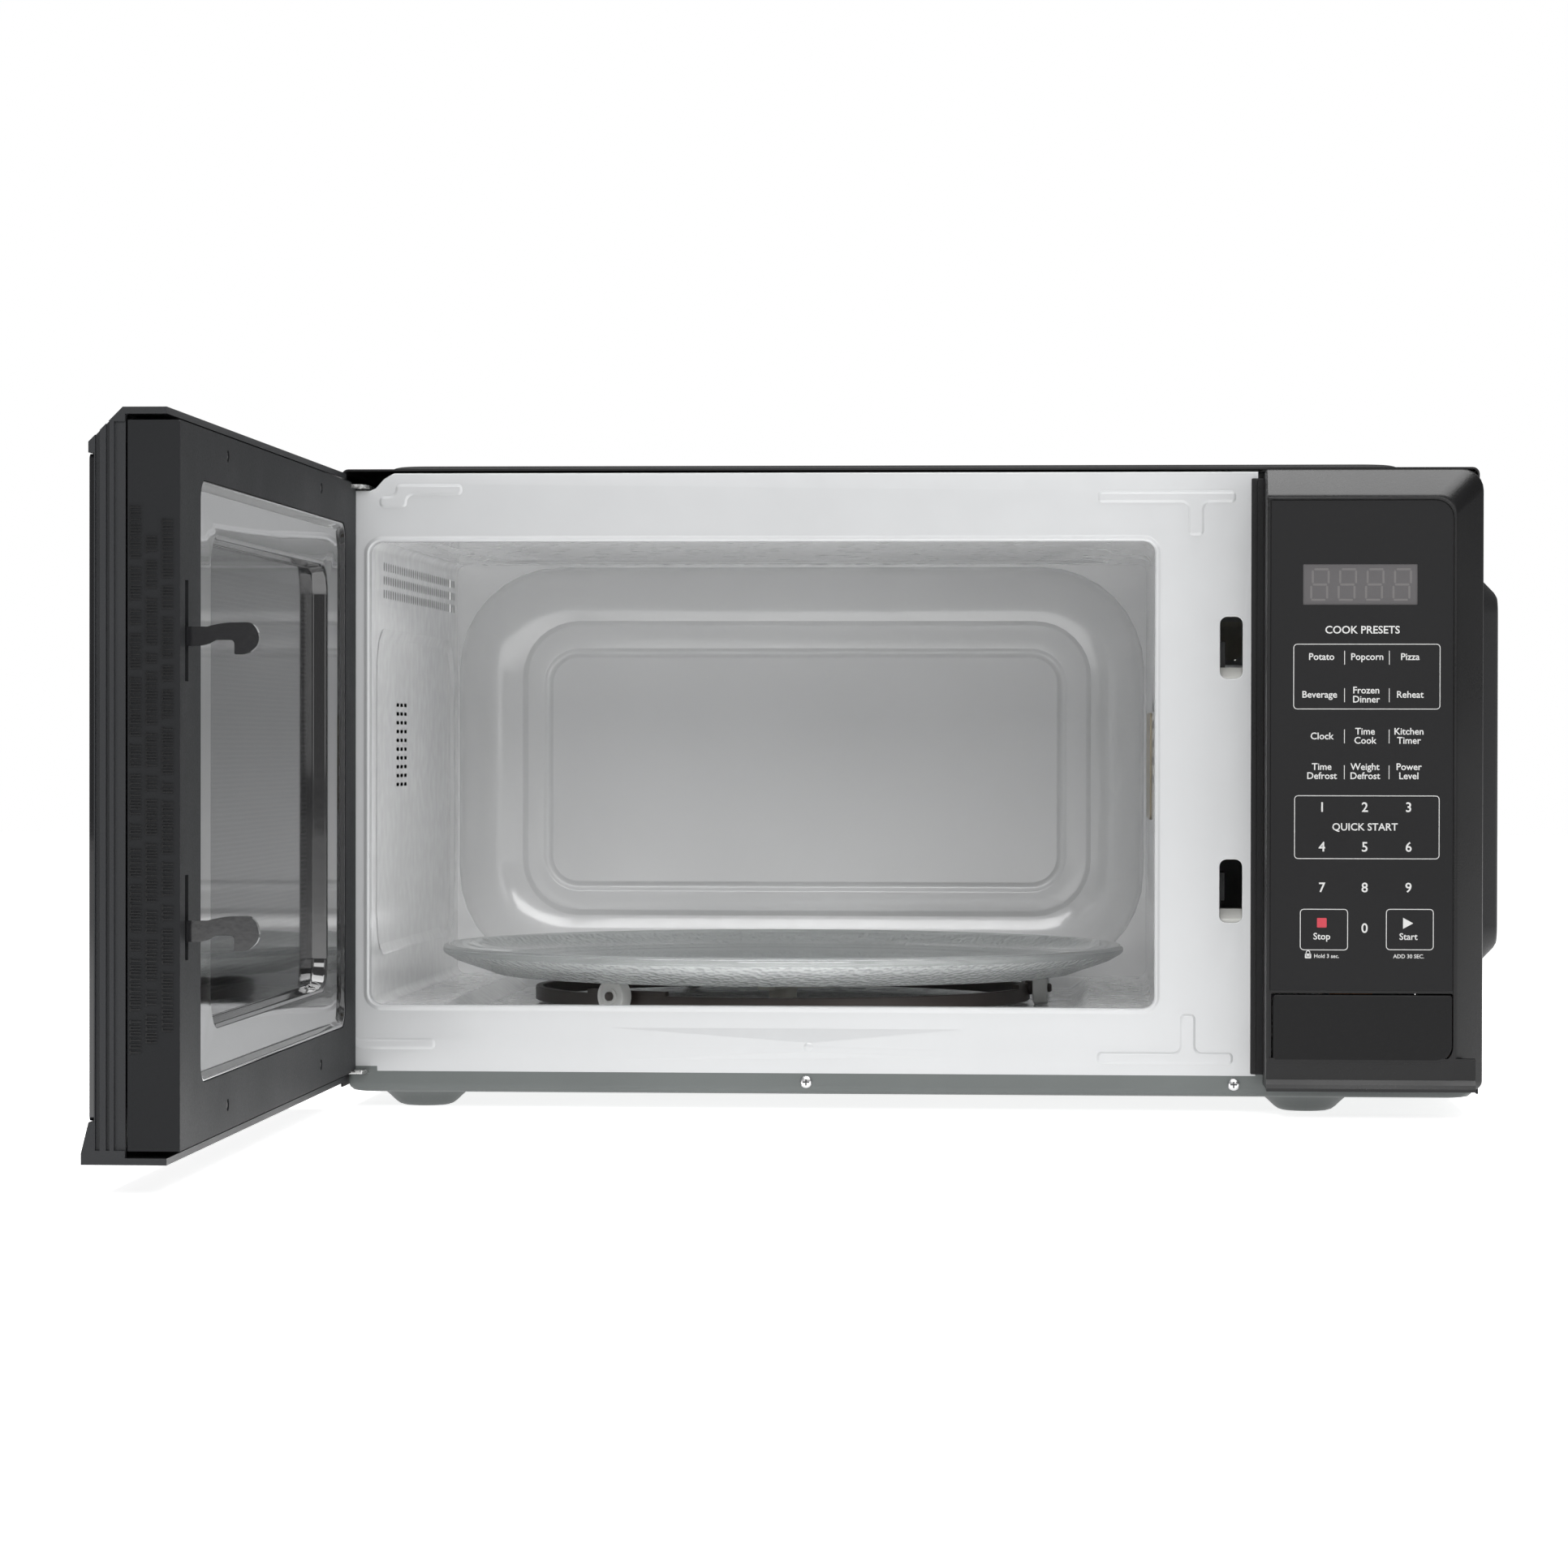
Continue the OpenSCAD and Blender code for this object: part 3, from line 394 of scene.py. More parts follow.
def quad(bm, box, y):
    """A rectangle standing in the XZ plane, facing the front."""
    x0, x1, z0, z1 = box
    made = bmesh.ops.create_grid(bm, x_segments=1, y_segments=1, size=0.5)
    middle = moved((x0 + x1) / 2, y, (z0 + z1) / 2)
    upright = middle @ turned(90, "X") @ scaled(x1 - x0, z1 - z0, 1)
    bmesh.ops.transform(bm, matrix=upright, verts=made["verts"])
    return made["verts"][0].link_faces[0]


def outline(bm, points, y):
    """A flat face through a few corner points (x, z), facing the front."""
    face = bm.faces.new([bm.verts.new((x, y, z)) for x, z in points])
    face.normal_update()
    if face.normal.y > 0:
        face.normal_flip()
    return face


def eased(bm, geom, width, steps, affect="EDGES"):
    """Rounds edges, or corners where affect is VERTICES."""
    bmesh.ops.bevel(bm, geom=geom, offset=width, segments=steps, profile=0.5, affect=affect,
                    clamp_overlap=True, material=-1)


def rounded(bm, face, radius, steps=5):
    """Rounds a face's corners; radius is one number, or one for each corner."""
    corners = list(face.verts)
    others = set(bm.faces) - {face}
    if isinstance(radius, (int, float)):
        eased(bm, corners, radius, steps, "VERTICES")
    else:
        for corner, r in zip(corners, radius):
            eased(bm, [corner], r, steps, "VERTICES")
    return next(f for f in bm.faces if f not in others)


def ring(bm, box, y, radius, steps=5):
    """A rounded rectangle as one face."""
    return rounded(bm, quad(bm, box, y), radius, steps)


def grown(box, by):
    return (box[0] - by, box[1] + by, box[2] - by, box[3] + by)


def around(x, z, half):
    return (x - half, x + half, z - half, z + half)


def opened(bm, faces):
    """Takes faces away and keeps their outlines, as lists of edges."""
    loops = [list(f.edges) for f in faces]
    bmesh.ops.delete(bm, geom=faces, context="FACES_ONLY")
    return loops


def loft(bm, faces, cap=False):
    """Joins a row of outlines into a skin. The last face stays if it caps the end."""
    loops = [list(f.edges) for f in faces]
    depths = [f.calc_center_median().y for f in faces]
    bmesh.ops.delete(bm, geom=faces[:-1] if cap else faces, context="FACES_ONLY")
    for i in range(len(loops) - 1):
        if abs(depths[i + 1] - depths[i]) < 0.001:
            fill(bm, loops[i:i + 2])
        else:
            bmesh.ops.bridge_loops(bm, edges=loops[i] + loops[i + 1])
    return loops


def fill(bm, loops):
    """A flat sheet inside the first outline and around the others."""
    edges = [e for loop in loops for e in loop]
    bmesh.ops.triangle_fill(bm, use_beauty=True, use_dissolve=False, edges=edges)


def sunk(bm, loops, by):
    """Moves outlines along the sheet's depth."""
    for loop in loops:
        verts = list({v for e in loop for v in e.verts})
        bmesh.ops.translate(bm, vec=(0, by, 0), verts=verts)


def thickened(bm, face, thick):
    """Makes a flat face a bar, drawn out along its depth."""
    made = bmesh.ops.extrude_face_region(bm, geom=[face])
    far = [v for v in made["geom"] if isinstance(v, bmesh.types.BMVert)]
    bmesh.ops.translate(bm, vec=(0, thick, 0), verts=far)


def press(bm, face, steps):
    """Insets a face and raises it, once for each step."""
    for inset, rise in steps:
        bmesh.ops.inset_region(bm, faces=[face], thickness=inset, depth=rise,
                               use_even_offset=True, use_boundary=True)
    return face


def pressed_rib(bm, points, y, radius, rise=0.75):
    """A soft ridge; gives back its foot's outline for the sheet around it."""
    face = rounded(bm, outline(bm, points, y), radius, 4)
    foot = list(face.edges)
    press(bm, face, [(0.5, rise * 0.2), (0.7, rise * 0.55), (0.6, rise * 0.25)])
    return foot


class placed:
    """Moves whatever is made inside the block."""

    def __init__(self, bm, matrix):
        self.bm = bm
        self.matrix = matrix

    def __enter__(self):
        self.old = set(self.bm.verts)

    def __exit__(self, *_):
        new = [v for v in self.bm.verts if v not in self.old]
        bmesh.ops.transform(self.bm, matrix=self.matrix, verts=new)


def lathe(bm, points, steps=48, closed=False):
    """Spins a profile of (radius, height) points about the Z axis."""
    verts = [bm.verts.new((r, 0, h)) for r, h in points]
    pairs = list(zip(verts, verts[1:]))
    if closed:
        pairs.append((verts[-1], verts[0]))
    edges = [bm.edges.new(pair) for pair in pairs]
    bmesh.ops.spin(bm, geom=verts + edges, cent=(0, 0, 0), axis=(0, 0, 1),
                   angle=math.tau, steps=steps, use_merge=True)


def piece(name, bm, body, finishes, place=CABINET, replaces=(), wall=0.0,
          facing=None, sharp=32, normals=True):
    """Makes a finished mesh into an object of the oven."""
    bmesh.ops.transform(bm, matrix=place, verts=bm.verts)
    bmesh.ops.remove_doubles(bm, verts=bm.verts, dist=3e-6)
    if normals:
        bmesh.ops.recalc_face_normals(bm, faces=bm.faces)
    if facing:
        widest = max(bm.faces, key=lambda f: f.calc_area())
        if widest.normal.dot(Vector(facing)) < 0:
            bmesh.ops.reverse_faces(bm, faces=bm.faces)
    for face in bm.faces:
        face.smooth = True
    for edge in bm.edges:
        edge.smooth = len(edge.link_faces) == 2 and edge.calc_face_angle(0) < math.radians(sharp)
    mesh = bpy.data.meshes.new(name)
    bm.to_mesh(mesh)
    bm.free()
    for finish in finishes:
        mesh.materials.append(FINISH[finish])
    obj = bpy.data.objects.new(name, mesh)
    scene.collection.objects.link(obj)
    if wall:
        solid = obj.modifiers.new("wall", "SOLIDIFY")
        solid.thickness = wall * 0.001
        solid.offset = -1.0
        solid.use_even_offset = True
    weighted = obj.modifiers.new("flat_faces", "WEIGHTED_NORMAL")
    weighted.keep_sharp = True
    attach(obj, body)
    if replaces:
        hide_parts(*replaces)
    return obj


def softened(name, node, finish, body, width, steps=2):
    """A moulded piece: the CAD node's shape with its sharp edges eased."""
    bm = bmesh.new()
    bm.from_mesh(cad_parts[node].data)
    bmesh.ops.remove_doubles(bm, verts=bm.verts, dist=1e-6)
    bmesh.ops.dissolve_limit(bm, angle_limit=math.radians(2), verts=bm.verts, edges=bm.edges)
    edges = [e for e in bm.edges
             if len(e.link_faces) == 2 and e.calc_face_angle(0) > math.radians(35)]
    eased(bm, edges, width * 0.001, steps)
    return piece(name, bm, body, [finish], SAME, [node], normals=False)


# ------------ cabinet sheet metal


def front_plate():
    """Enamelled front plate: rolled bead, pressed ribs, latch slots and hinge notches."""
    bm = bmesh.new()
    rim = outline(bm, [
        (-242.5, 17.6), (-228.5, 17.6), (-228.5, 15.5), (150, 15.5), (150, 273.8),
        (-220.6, 273.8), (-222.6, 272.8), (-225.2, 271.2), (-227, 269.2), (-228.6, 267.4),
        (-230.8, 266.4), (-242.5, 266.4),
    ], 9)
    press(bm, rim, [(0, 8), (0.1, 0.5), (0.3, 0.35), (0.4, 0.15)])
    loops = opened(bm, [rim])
    lip = [(2.8, 0), (2.2, -0.3), (1.5, -0.85), (0.9, -0.95), (0.3, -0.5), (0, 0.3), (0, 5)]
    loops.append(loft(bm, [ring(bm, grown(MOUTH, o), y, 5 + o, 8) for o, y in lip])[0])
    for z0, z1 in ((185.6, 211.9), (81.6, 108.5)):
        slot = (133.9, 143.4, z0, z1)
        edge = [(0.5, 0), (0.12, 0.18), (0, 0.6), (0, 1.6)]
        loops.append(loft(bm, [ring(bm, grown(slot, o), y, 3 + o, 6) for o, y in edge])[0])
    ribs = [
        [(-214.5, 269.6), (-220.4, 269.6), (-220.4, 264.4), (-227.4, 264.4), (-227.4, 258.4),
         (-214.5, 258.4), (-214.5, 263.6), (-190.5, 263.6), (-190.5, 269.6)],
        [(81.3, 260), (119.8, 260), (119.8, 246), (127.4, 246), (127.4, 260), (141, 260),
         (141, 266.2), (81.3, 266.2)],
        [(81.3, 26.7), (116.6, 26.7), (116.6, 43), (124.2, 43), (124.2, 26.7), (140.2, 26.7),
         (140.2, 20.5), (81.3, 20.5)],
        [(-239, 25.1), (-202, 25.1), (-202, 30.9), (-239, 30.9)],
    ]
    for points in ribs:
        loops.append(pressed_rib(bm, points, 0, 2.4))
    dimple = ring(bm, (-43, -40, 26, 29), 0, 1.45, 5)
    loops.append(list(dimple.edges))
    press(bm, dimple, [(0.3, 0.15), (0.5, 0.25)])
    fill(bm, loops)
    return piece("front_plate", bm, "cabinet", ["enamel"], replaces=["front_frame", "latch_strip"],
                 wall=0.8, facing=(0, -1, 0))


def slot_block(bm, start, count, pitch, size, radius):
    """Rows of small rounded slots, as outlines; each pair is across and up."""
    loops = []
    for i in range(count[0]):
        for j in range(count[1]):
            x, z = start[0] + i * pitch[0], start[1] + j * pitch[1]
            loops += opened(bm, [ring(bm, (x, x + size[0], z, z + size[1]), 0, radius, 3)])
    return loops


def dished(bm, face, depth):
    """A shallow recess pressed into a sheet at depth 0; gives back its outline."""
    rim = list(face.edges)
    press(bm, face, [(0.8, -depth * 0.12), (1.6, -depth * 0.4), (1.6, -depth * 0.36),
                     (0.8, -depth * 0.12)])
    return rim


def cavity_walls():
    """The four walls of the oven: fillets along the corners, vents and shallow recesses."""
    bm = bmesh.new()
    x0, x1, z0, z1 = INSIDE
    loft(bm, [ring(bm, INSIDE, y, 4, 5) for y in (1.2, WALL_END)])
    flats = [f for f in bm.faces if f.calc_area() > 20000]
    edges = {}
    for f in flats:
        f.normal_update()
        middle = f.calc_center_median()
        side = ("left" if middle.x < -200 else "right" if middle.x > 80
                else "floor" if middle.z < 60 else "ceiling")
        edges[side] = list(f.edges)
    bmesh.ops.delete(bm, geom=flats, context="FACES_ONLY")

    def panel(side, place, draw):
        with placed(bm, place):
            loops = draw()
        fill(bm, [edges[side]] + loops)

    def left():
        loops = slot_block(bm, (50, z1 - 24), (34, 3), (7, 6), (2, 4), 0.9)
        shape = [(30, 64), (240, 64), (284, 60), (284, 208), (30, 208)]
        face = rounded(bm, outline(bm, shape, 0), 22, 8)
        rim = dished(bm, face, RECESS)
        block = slot_block(bm, (100, 138), (3, 10), (12, 4), (8, 1.6), 0.7)
        bottom = opened(bm, [face])
        sunk(bm, block, RECESS)
        fill(bm, bottom + block)
        return loops + [rim]

    def right():
        loops = slot_block(bm, (244, 208), (5, 5), (4, 4), (2, 2), 0.9)
        loops += slot_block(bm, (88, 140), (6, 5), (7, 8), (4, 4), 1.2)
        port = ring(bm, (150, 225, 130, 165), 0, 2, 3)
        loops += opened(bm, [port])
        return loops

    def floor():
        box = (TABLE_X - WELL_HALF, TABLE_X + WELL_HALF, WELL_FRONT, WELL_BACK)
        well = ring(bm, box, 0, 12, 6)
        rim = list(well.edges)
        press(bm, well, [(0.8, -0.15), (1.2, -0.6), (5.4, -4.1), (1.1, -0.6), (0.7, -0.15)])
        hub = ring(bm, around(TABLE_X, TABLE_Y, 8), WELL_DEPTH, 7.9, 8)
        fill(bm, opened(bm, [well, hub]))
        return [rim]

    def ceiling():
        loops = []
        for x in (-57, -24, 66):
            loops += slot_block(bm, (x, 288), (1, 1), (0, 0), (9, 2), 0.9)
        return loops + [dished(bm, ring(bm, (-215, 90, 24, 278), 0, 20, 8), 1.2)]

    panel("left", moved(x0, 0, 0) @ MIRRORED @ SIDEWAYS, left)
    panel("right", moved(x1, 0, 0) @ SIDEWAYS, right)
    panel("floor", moved(0, 0, z0) @ DOWNWARD @ LYING, floor)
    panel("ceiling", moved(0, 0, z1) @ LYING, ceiling)
    return piece("cavity_walls", bm, "cabinet", ["cavity_enamel"], replaces=["cavity_shell"],
                 sharp=28)


def cavity_rear():
    """Dished rear wall with its second step and a pressed groove."""
    bm = bmesh.new()
    faces = [ring(bm, INSIDE, WALL_END, 4, 8), ring(bm, grown(INSIDE, -1), WALL_END, 50, 8)]
    for i in range(1, 9):
        a = math.radians(90 * i / 8)
        inset = DISH * (1 - math.cos(a))
        depth = WALL_END + DISH * math.sin(a)
        faces.append(ring(bm, grown(INSIDE, -1 - inset), depth, 50 - inset * 0.8, 8))
    back = WALL_END + DISH
    step = (-201, 79, 73.7, 217)
    faces += [ring(bm, grown(step, o), back - d, 26 + o, 8)
              for o, d in ((2.5, 0), (1.5, 0.3), (0, 1.3), (-1, 1.6))]
    groove = (-193, 69, 83.5, 205.5)
    faces += [ring(bm, grown(groove, -o), back - 1.6 + d, 18 - o, 8)
              for o, d in ((0, 0), (0.8, 0.5), (2, 1.4), (3.4, 1.4), (4.6, 0.5), (5.4, 0))]
    loft(bm, faces, cap=True)
    return piece("cavity_rear", bm, "cabinet", ["cavity_enamel"], replaces=["cavity_back"],
                 facing=(0, -1, 0), sharp=40)


def wrapper():
    """Painted outer cover: folded over the top, with raised pads and air slots."""
    bm = bmesh.new()
    bend = 3.0
    front, back = 0.3, CAB_DEPTH - 1
    low = 9.2

    def pad_steps(h, s):
        return [(1.5, h * 0.1), (s * 0.5, h * 0.4), (s * 0.5, h * 0.4), (1.5, h * 0.1)]

    with placed(bm, moved(0, 0, CAB_TOP) @ DOWNWARD @ LYING):
        sheet = quad(bm, (CAB_LEFT + bend, CAB_RIGHT - bend, front, back), 0)
        pad = ring(bm, (CAB_LEFT + 10, CAB_RIGHT - 26, 26, back - 13), 0, 22, 8)
        rim = list(pad.edges)
        press(bm, pad, pad_steps(3.2, 5))
        fill(bm, opened(bm, [sheet]) + [rim])
    for side, x in ((-1, CAB_LEFT), (1, CAB_RIGHT)):
        with placed(bm, moved(x, 0, 0) @ scaled(side, 1, 1) @ MIRRORED @ SIDEWAYS):
            sheet = quad(bm, (front, back, low, CAB_TOP - bend), 0)
            loops = opened(bm, [sheet])
            if side > 0:
                pad = ring(bm, (20, back - 13, 59, 234), 0, 20, 8)
                loops.append(list(pad.edges))
                press(bm, pad, [(1.5, 0.8), (4.5, 4.4), (4.5, 4.4), (2, 1.2), (2.5, 0.2)])
                vents = slot_block(bm, (238, 96), (9, 3), (8, 34), (3.5, 24), 1.7)
                sunk(bm, vents, -11)
                fill(bm, opened(bm, [pad]) + vents)
            else:
                loops += slot_block(bm, (236, 60), (9, 1), (8, 34), (3.5, 26), 1.7)
            fill(bm, loops)
        fold = CAB_TOP - bend
        strip = [e for e in bm.edges
                 if all(abs(v.co.x - x) < 1e-3 and abs(v.co.z - fold) < 1e-3 for v in e.verts)]
        bmesh.ops.spin(bm, geom=strip, cent=(x - side * bend, 0, fold), axis=(0, 1, 0),
                       angle=math.radians(-90 * side), steps=5)
    bmesh.ops.remove_doubles(bm, verts=bm.verts, dist=0.002)
    return piece("cabinet_wrapper", bm, "cabinet", ["cabinet_paint"], replaces=["outer_wrapper"],
                 wall=0.8, facing=(0, 0, 1))


def floor_pan():
    """Painted base: bent-up edges and four feet drawn down from the sheet."""
    bm = bmesh.new()
    box = (CAB_LEFT + 3, CAB_RIGHT - 2, 0, CAB_DEPTH - 1.5)
    bend = 4.0
    with placed(bm, DOWNWARD @ LYING):  # drawn upside down, so depths are heights turned over
        base = rounded(bm, quad(bm, box, -24), 2.5, 3)
        rows = [base]
        for inset, z in ((0, 11.2), (0.6, 9.3), (1.8, 7.9), (bend, PAN_SHEET)):
            rows.append(ring(bm, grown(box, -inset), -z, 2.5 + inset, 3))
        loops = [loft(bm, rows)[-1]]
        drawn = ((21, PAN_SHEET), (19.6, 6.9), (18, 6.1), (15.8, 4.2), (13.4, 1.9), (11.6, 0.6),
                 (9.8, 0.05), (9, 0))
        for x in (-210, 171.5):
            for y in (28, CAB_DEPTH - 32):
                foot = [ring(bm, around(x, y, r), -z, r * 0.999, 7) for r, z in drawn]
                loops.append(loft(bm, foot, cap=True)[0])
        loops += opened(bm, [ring(bm, around(TABLE_X, TABLE_Y, 34), -PAN_SHEET, 3, 3)])
        vents = slot_block(bm, (128, 96), (12, 2), (8, 40), (3.5, 30), 1.7)
        sunk(bm, vents, -PAN_SHEET)
        fill(bm, loops + vents)
    return piece("floor_pan", bm, "cabinet", ["base_paint"], replaces=["base_pan"],
                 wall=0.8, facing=(0, 0, -1))


def screw_head(bm, radius, height, tail):
    """A pan-head screw standing on z = 0; its cross recess is painted shade, a near-black flat plus
    laid on the head.
    """
    core = radius * 0.5
    lathe(bm, [(0, height), (core, height), (radius * 0.82, height * 0.82),
               (radius, height * 0.35), (radius, 0), (core, 0), (core, -tail), (0, -tail)], 24)
    arm, half = radius * 0.55, radius * 0.12
    plus = [(half, arm), (-half, arm), (-half, half), (-arm, half), (-arm, -half), (-half, -half),
            (-half, -arm), (half, -arm), (half, -half), (arm, -half), (arm, half), (half, half)]
    # Painted shade: the recess is not cut; this plus takes the second, near-black finish.
    with placed(bm, moved(0, 0, height + 0.02) @ turned(-90, "X")):
        outline(bm, plus, 0).material_index = 1


def screws(name, node, body, finish, spots, radius, height, tail, place=CABINET, back=False):
    """A set of screws, each at (x, y, z) and facing the front or the back."""
    bm = bmesh.new()
    for spot in spots:
        with placed(bm, moved(*spot) @ turned(-90 if back else 90, "X")):
            screw_head(bm, radius, height, tail)
    # The second finish, switch_plastic, colours each cross recess near black as painted shade.
    return piece(name, bm, body, [finish, "switch_plastic"], place, [node], normals=False)


# ------------ turntable


def tray():
    """Glass tray with a thick rolled rim and a hammered underside."""
    bm = bmesh.new()
    top = [(0, 4.4), (60, 4.4), (126.5, 4.4), (133, 4.8), (139.5, 5.4), (144, 6.6), (147.5, 8),
           (150.5, 10), (152.5, 11.4), (154, 11.95), (155.5, 12), (156.8, 11.4), (157.5, 10.4),
           (157.5, 9), (157, 8.2)]
    under = [(157, 8.2), (155, 7), (151.5, 5), (146, 3), (139.5, 0.9), (136, -0.4), (133.5, -1.3),
             (131.5, -1.6), (126.8, -1.6), (125.6, -1.2), (124.6, -0.2), (122, 0), (60, 0), (0, 0)]
    lathe(bm, top, 128)
    upper = set(bm.faces)
    lathe(bm, under, 128)
    for face in bm.faces:
        face.material_index = 0 if face in upper else 1
    for turn in (75, 195, 315):
        with placed(bm, turned(turn, "Z") @ moved(19, 0, 0)):
            lathe(bm, [(0, -4.4), (2.2, -4.4), (3, -3.6), (3, -0.4), (3.6, 0.1)], 20)
    place = CABINET @ moved(TABLE_X, TABLE_Y, TRAY_Z)
    return piece("turntable_tray", bm, "tray", ["tray_glass", "tray_hammered"], place,
                 ["glass_tray"], sharp=50)


def roller_ring():
    """Ring strip with taller lands at its axles."""
    bm = bmesh.new()
    lathe(bm, [(111, 0), (111.4, -0.3), (114.1, -0.3), (114.5, 0), (114.5, 5.6), (114.2, 6),
               (111.3, 6), (111, 5.6)], 96, closed=True)
    for turn in AXLE_TURNS:
        with placed(bm, Matrix.Rotation(math.radians(turn) - LAND_SWEEP / 2, 4, "Z")):
            land = outline(bm, [(111.1, 4.5), (114.4, 4.5), (114.4, 7.6), (114, 8), (111.5, 8),
                                (111.1, 7.6)], 0)
            bmesh.ops.spin(bm, geom=[land], cent=(0, 0, 0), axis=(0, 0, 1), angle=LAND_SWEEP,
                           steps=10)
        with placed(bm, turned(turn, "Z")), placed(bm, moved(0, 0, 5.7) @ turned(90, "Y")):
            lathe(bm, [(0, 113), (3.2, 113), (3.2, 116), (2, 116.4), (2, 124.4), (1.4, 125),
                       (0, 125)], 20)
    place = CABINET @ moved(TABLE_X, TABLE_Y, RING_Z)
    return piece("ring_strip", bm, "ring", ["ring_plastic"], place, ["roller_ring"])


def roller(name, turn):
    """Small wheel with a groove in each face and a bore for its axle."""
    bm = bmesh.new()
    lathe(bm, [(2.06, -3.2), (3.4, -3.2), (3.6, -2.4), (5.4, -2.4), (5.8, -3.2), (7.1, -3.2),
               (7.5, -2.8), (7.5, 2.8), (7.1, 3.2), (5.8, 3.2), (5.4, 2.4), (3.6, 2.4),
               (3.4, 3.2), (2.06, 3.2)], 40, closed=True)
    lift = (moved(TABLE_X, TABLE_Y, AXLE_Z) @ turned(turn, "Z") @ moved(AXLE_REACH, 0, 0)
            @ turned(90, "Y"))
    return piece(name + "_wheel", bm, name, ["roller_plastic"], CABINET @ lift, [name])


# ------------ control panel


def panel_body():
    """Moulded control housing with sloping top and right edges and a seat for the keypad."""
    bm = bmesh.new()
    left, right, low, high = 152.3, 243.4, 12.3, 273.5
    rows = [
        ((left, right, low, high), -0.2, (1, 4, 9, 1)),
        ((left, right, low, high), -19.5, (1, 4, 9, 1)),
        ((left, right - 0.5, low, high - 0.6), -21.2, (1, 4, 9, 1)),
        ((left, right - 11.4, low, high - 11), -32.6, (0.8, 4, 8.5, 0.8)),
        ((left, right - 12.4, low, high - 12), -33.3, (0.6, 4, 8, 0.6)),
        ((left + 0.2, right - 12.7, low + 0.6, high - 12.4), PANEL_FACE, (0.6, 4, 8, 0.6)),
    ]
    faces = [ring(bm, box, y, r, 6) for box, y, r in rows]
    seat = (153.5, 230.2, 24.3, 260.1)
    well = [ring(bm, seat, y, (0.8, 7, 8, 0.8), 6) for y in (PANEL_FACE, SEAT)]
    bay = [ring(bm, (154.4, 230.1, 24.4, 53.5), y, (0.8, 6.9, 0.8, 0.8), 6)
           for y in (SEAT, -26)]
    well_loops = loft(bm, well)
    fill(bm, [well_loops[1], loft(bm, bay)[0]])
    front = list(faces[-1].edges)
    loft(bm, faces)
    fill(bm, [front, well_loops[0]])
    # lip that runs out along the bottom edge
    with placed(bm, moved(left, 0, 0) @ SIDEWAYS):
        lip = outline(bm, [(-33.3, low + 14), (-33.35, low + 5), (-35.4, low + 3),
                           (-35.8, low + 1.4), (-35.2, low + 0.1), (-30, low + 0.1),
                           (-30, low + 14)], 0)
        thickened(bm, lip, right - left - 4)
    return piece("control_housing", bm, "cabinet", ["panel_plastic"], replaces=["control_frame"],
                 sharp=30)


def panel_flange():
    """Dark strip along the panel's hinge-side edge, lying over the front plate."""
    bm = bmesh.new()
    face = ring(bm, (147, 152.6, 17, 270.8), -0.15, 0.6, 3)
    press(bm, face, [(0, 0.5), (0.15, 0.3), (0.25, 0.15)])
    bead = ring(bm, (148.9, 149.5, 17.6, 270), -1.1, 0.25, 2)
    press(bm, bead, [(0, 0.25), (0.12, 0.15)])
    return piece("panel_flange", bm, "cabinet", ["panel_plastic"])


def keypad():
    """Keypad film with its display window."""
    bm = bmesh.new()
    film = ring(bm, (153.9, 229.8, 54.7, 259.7), FILM, (0.6, 0.6, 7.6, 0.6), 6)
    press(bm, film, [(0, 0.5), (0.08, 0.08), (0.2, 0.02)])
    window = [ring(bm, (167.3, 214.9, 216, 233), y, 0.3, 2) for y in (-32.9, FILM)]
    loops = opened(bm, [film])
    loops.append(loft(bm, window)[0])
    fill(bm, loops)
    return piece("keypad_sheet", bm, "cabinet", ["keypad_film"], replaces=["keypad_membrane"])


def display():
    """Display glass with four unlit digits behind it."""
    bm = bmesh.new()
    face = ring(bm, (166.3, 215.7, 214.9, 234.1), -32.0, 0.4, 2)
    press(bm, face, [(0, 0.3)])
    first, pitch, middle, slant = 174.3, 11.4, 224.5, 0.1
    bars = [(0, dz, 6, 0.9) for dz in (6.4, 0, -6.4)]
    bars += [(dx, dz, 0.9, 5.4) for dz in (3.2, -3.2) for dx in (-3.3, 3.3)]
    for i in range(4):
        for dx, dz, w, h in bars:
            x = first + i * pitch + dx + dz * slant
            box = (x - w / 2, x + w / 2, middle + dz - h / 2, middle + dz + h / 2)
            ring(bm, box, -32.33, 0.4, 2).material_index = 1
    return piece("display_glass", bm, "cabinet", ["display_tint", "segment_grey"],
                 replaces=["display_window"], normals=False)


# Words and figures of the keypad: letter size, then each with the middle of its place.
LEGENDS = [
    (4.5, [("COOK PRESETS", 192.0, 205.4)]),
    (4.0, [("Potato", 175.0, 194.2), ("Popcorn", 194.0, 194.2), ("Pizza", 211.8, 194.2),
           ("Beverage", 174.2, 178.4), ("Frozen", 193.6, 180.2), ("Dinner", 193.6, 176.4),
           ("Reheat", 211.8, 178.4),
           ("Clock", 175.2, 161.0), ("Time", 193.2, 163.0), ("Cook", 193.2, 159.2),
           ("Kitchen", 211.4, 163.0), ("Timer", 211.4, 159.2),
           ("Time", 175.2, 148.2), ("Defrost", 175.2, 144.4), ("Weight", 193.2, 148.2),
           ("Defrost", 193.2, 144.4), ("Power", 211.4, 148.2), ("Level", 211.4, 144.4)]),
    (5.7, [(str(3 * row + column + 1), x, z) for row, z in enumerate((131.2, 114.6, 97.6))
           for column, x in enumerate((175.4, 193.2, 211.4))] + [("0", 193.2, 80.6)]),
    (4.3, [("QUICK START", 193.2, 123.0)]),
    (3.9, [("Stop", 175.4, 77.2), ("Start", 211.4, 77.2)]),
    (2.3, [("Hold 3 sec.", 177.4, 69.0), ("ADD 30 SEC.", 211.6, 69.0)]),
]


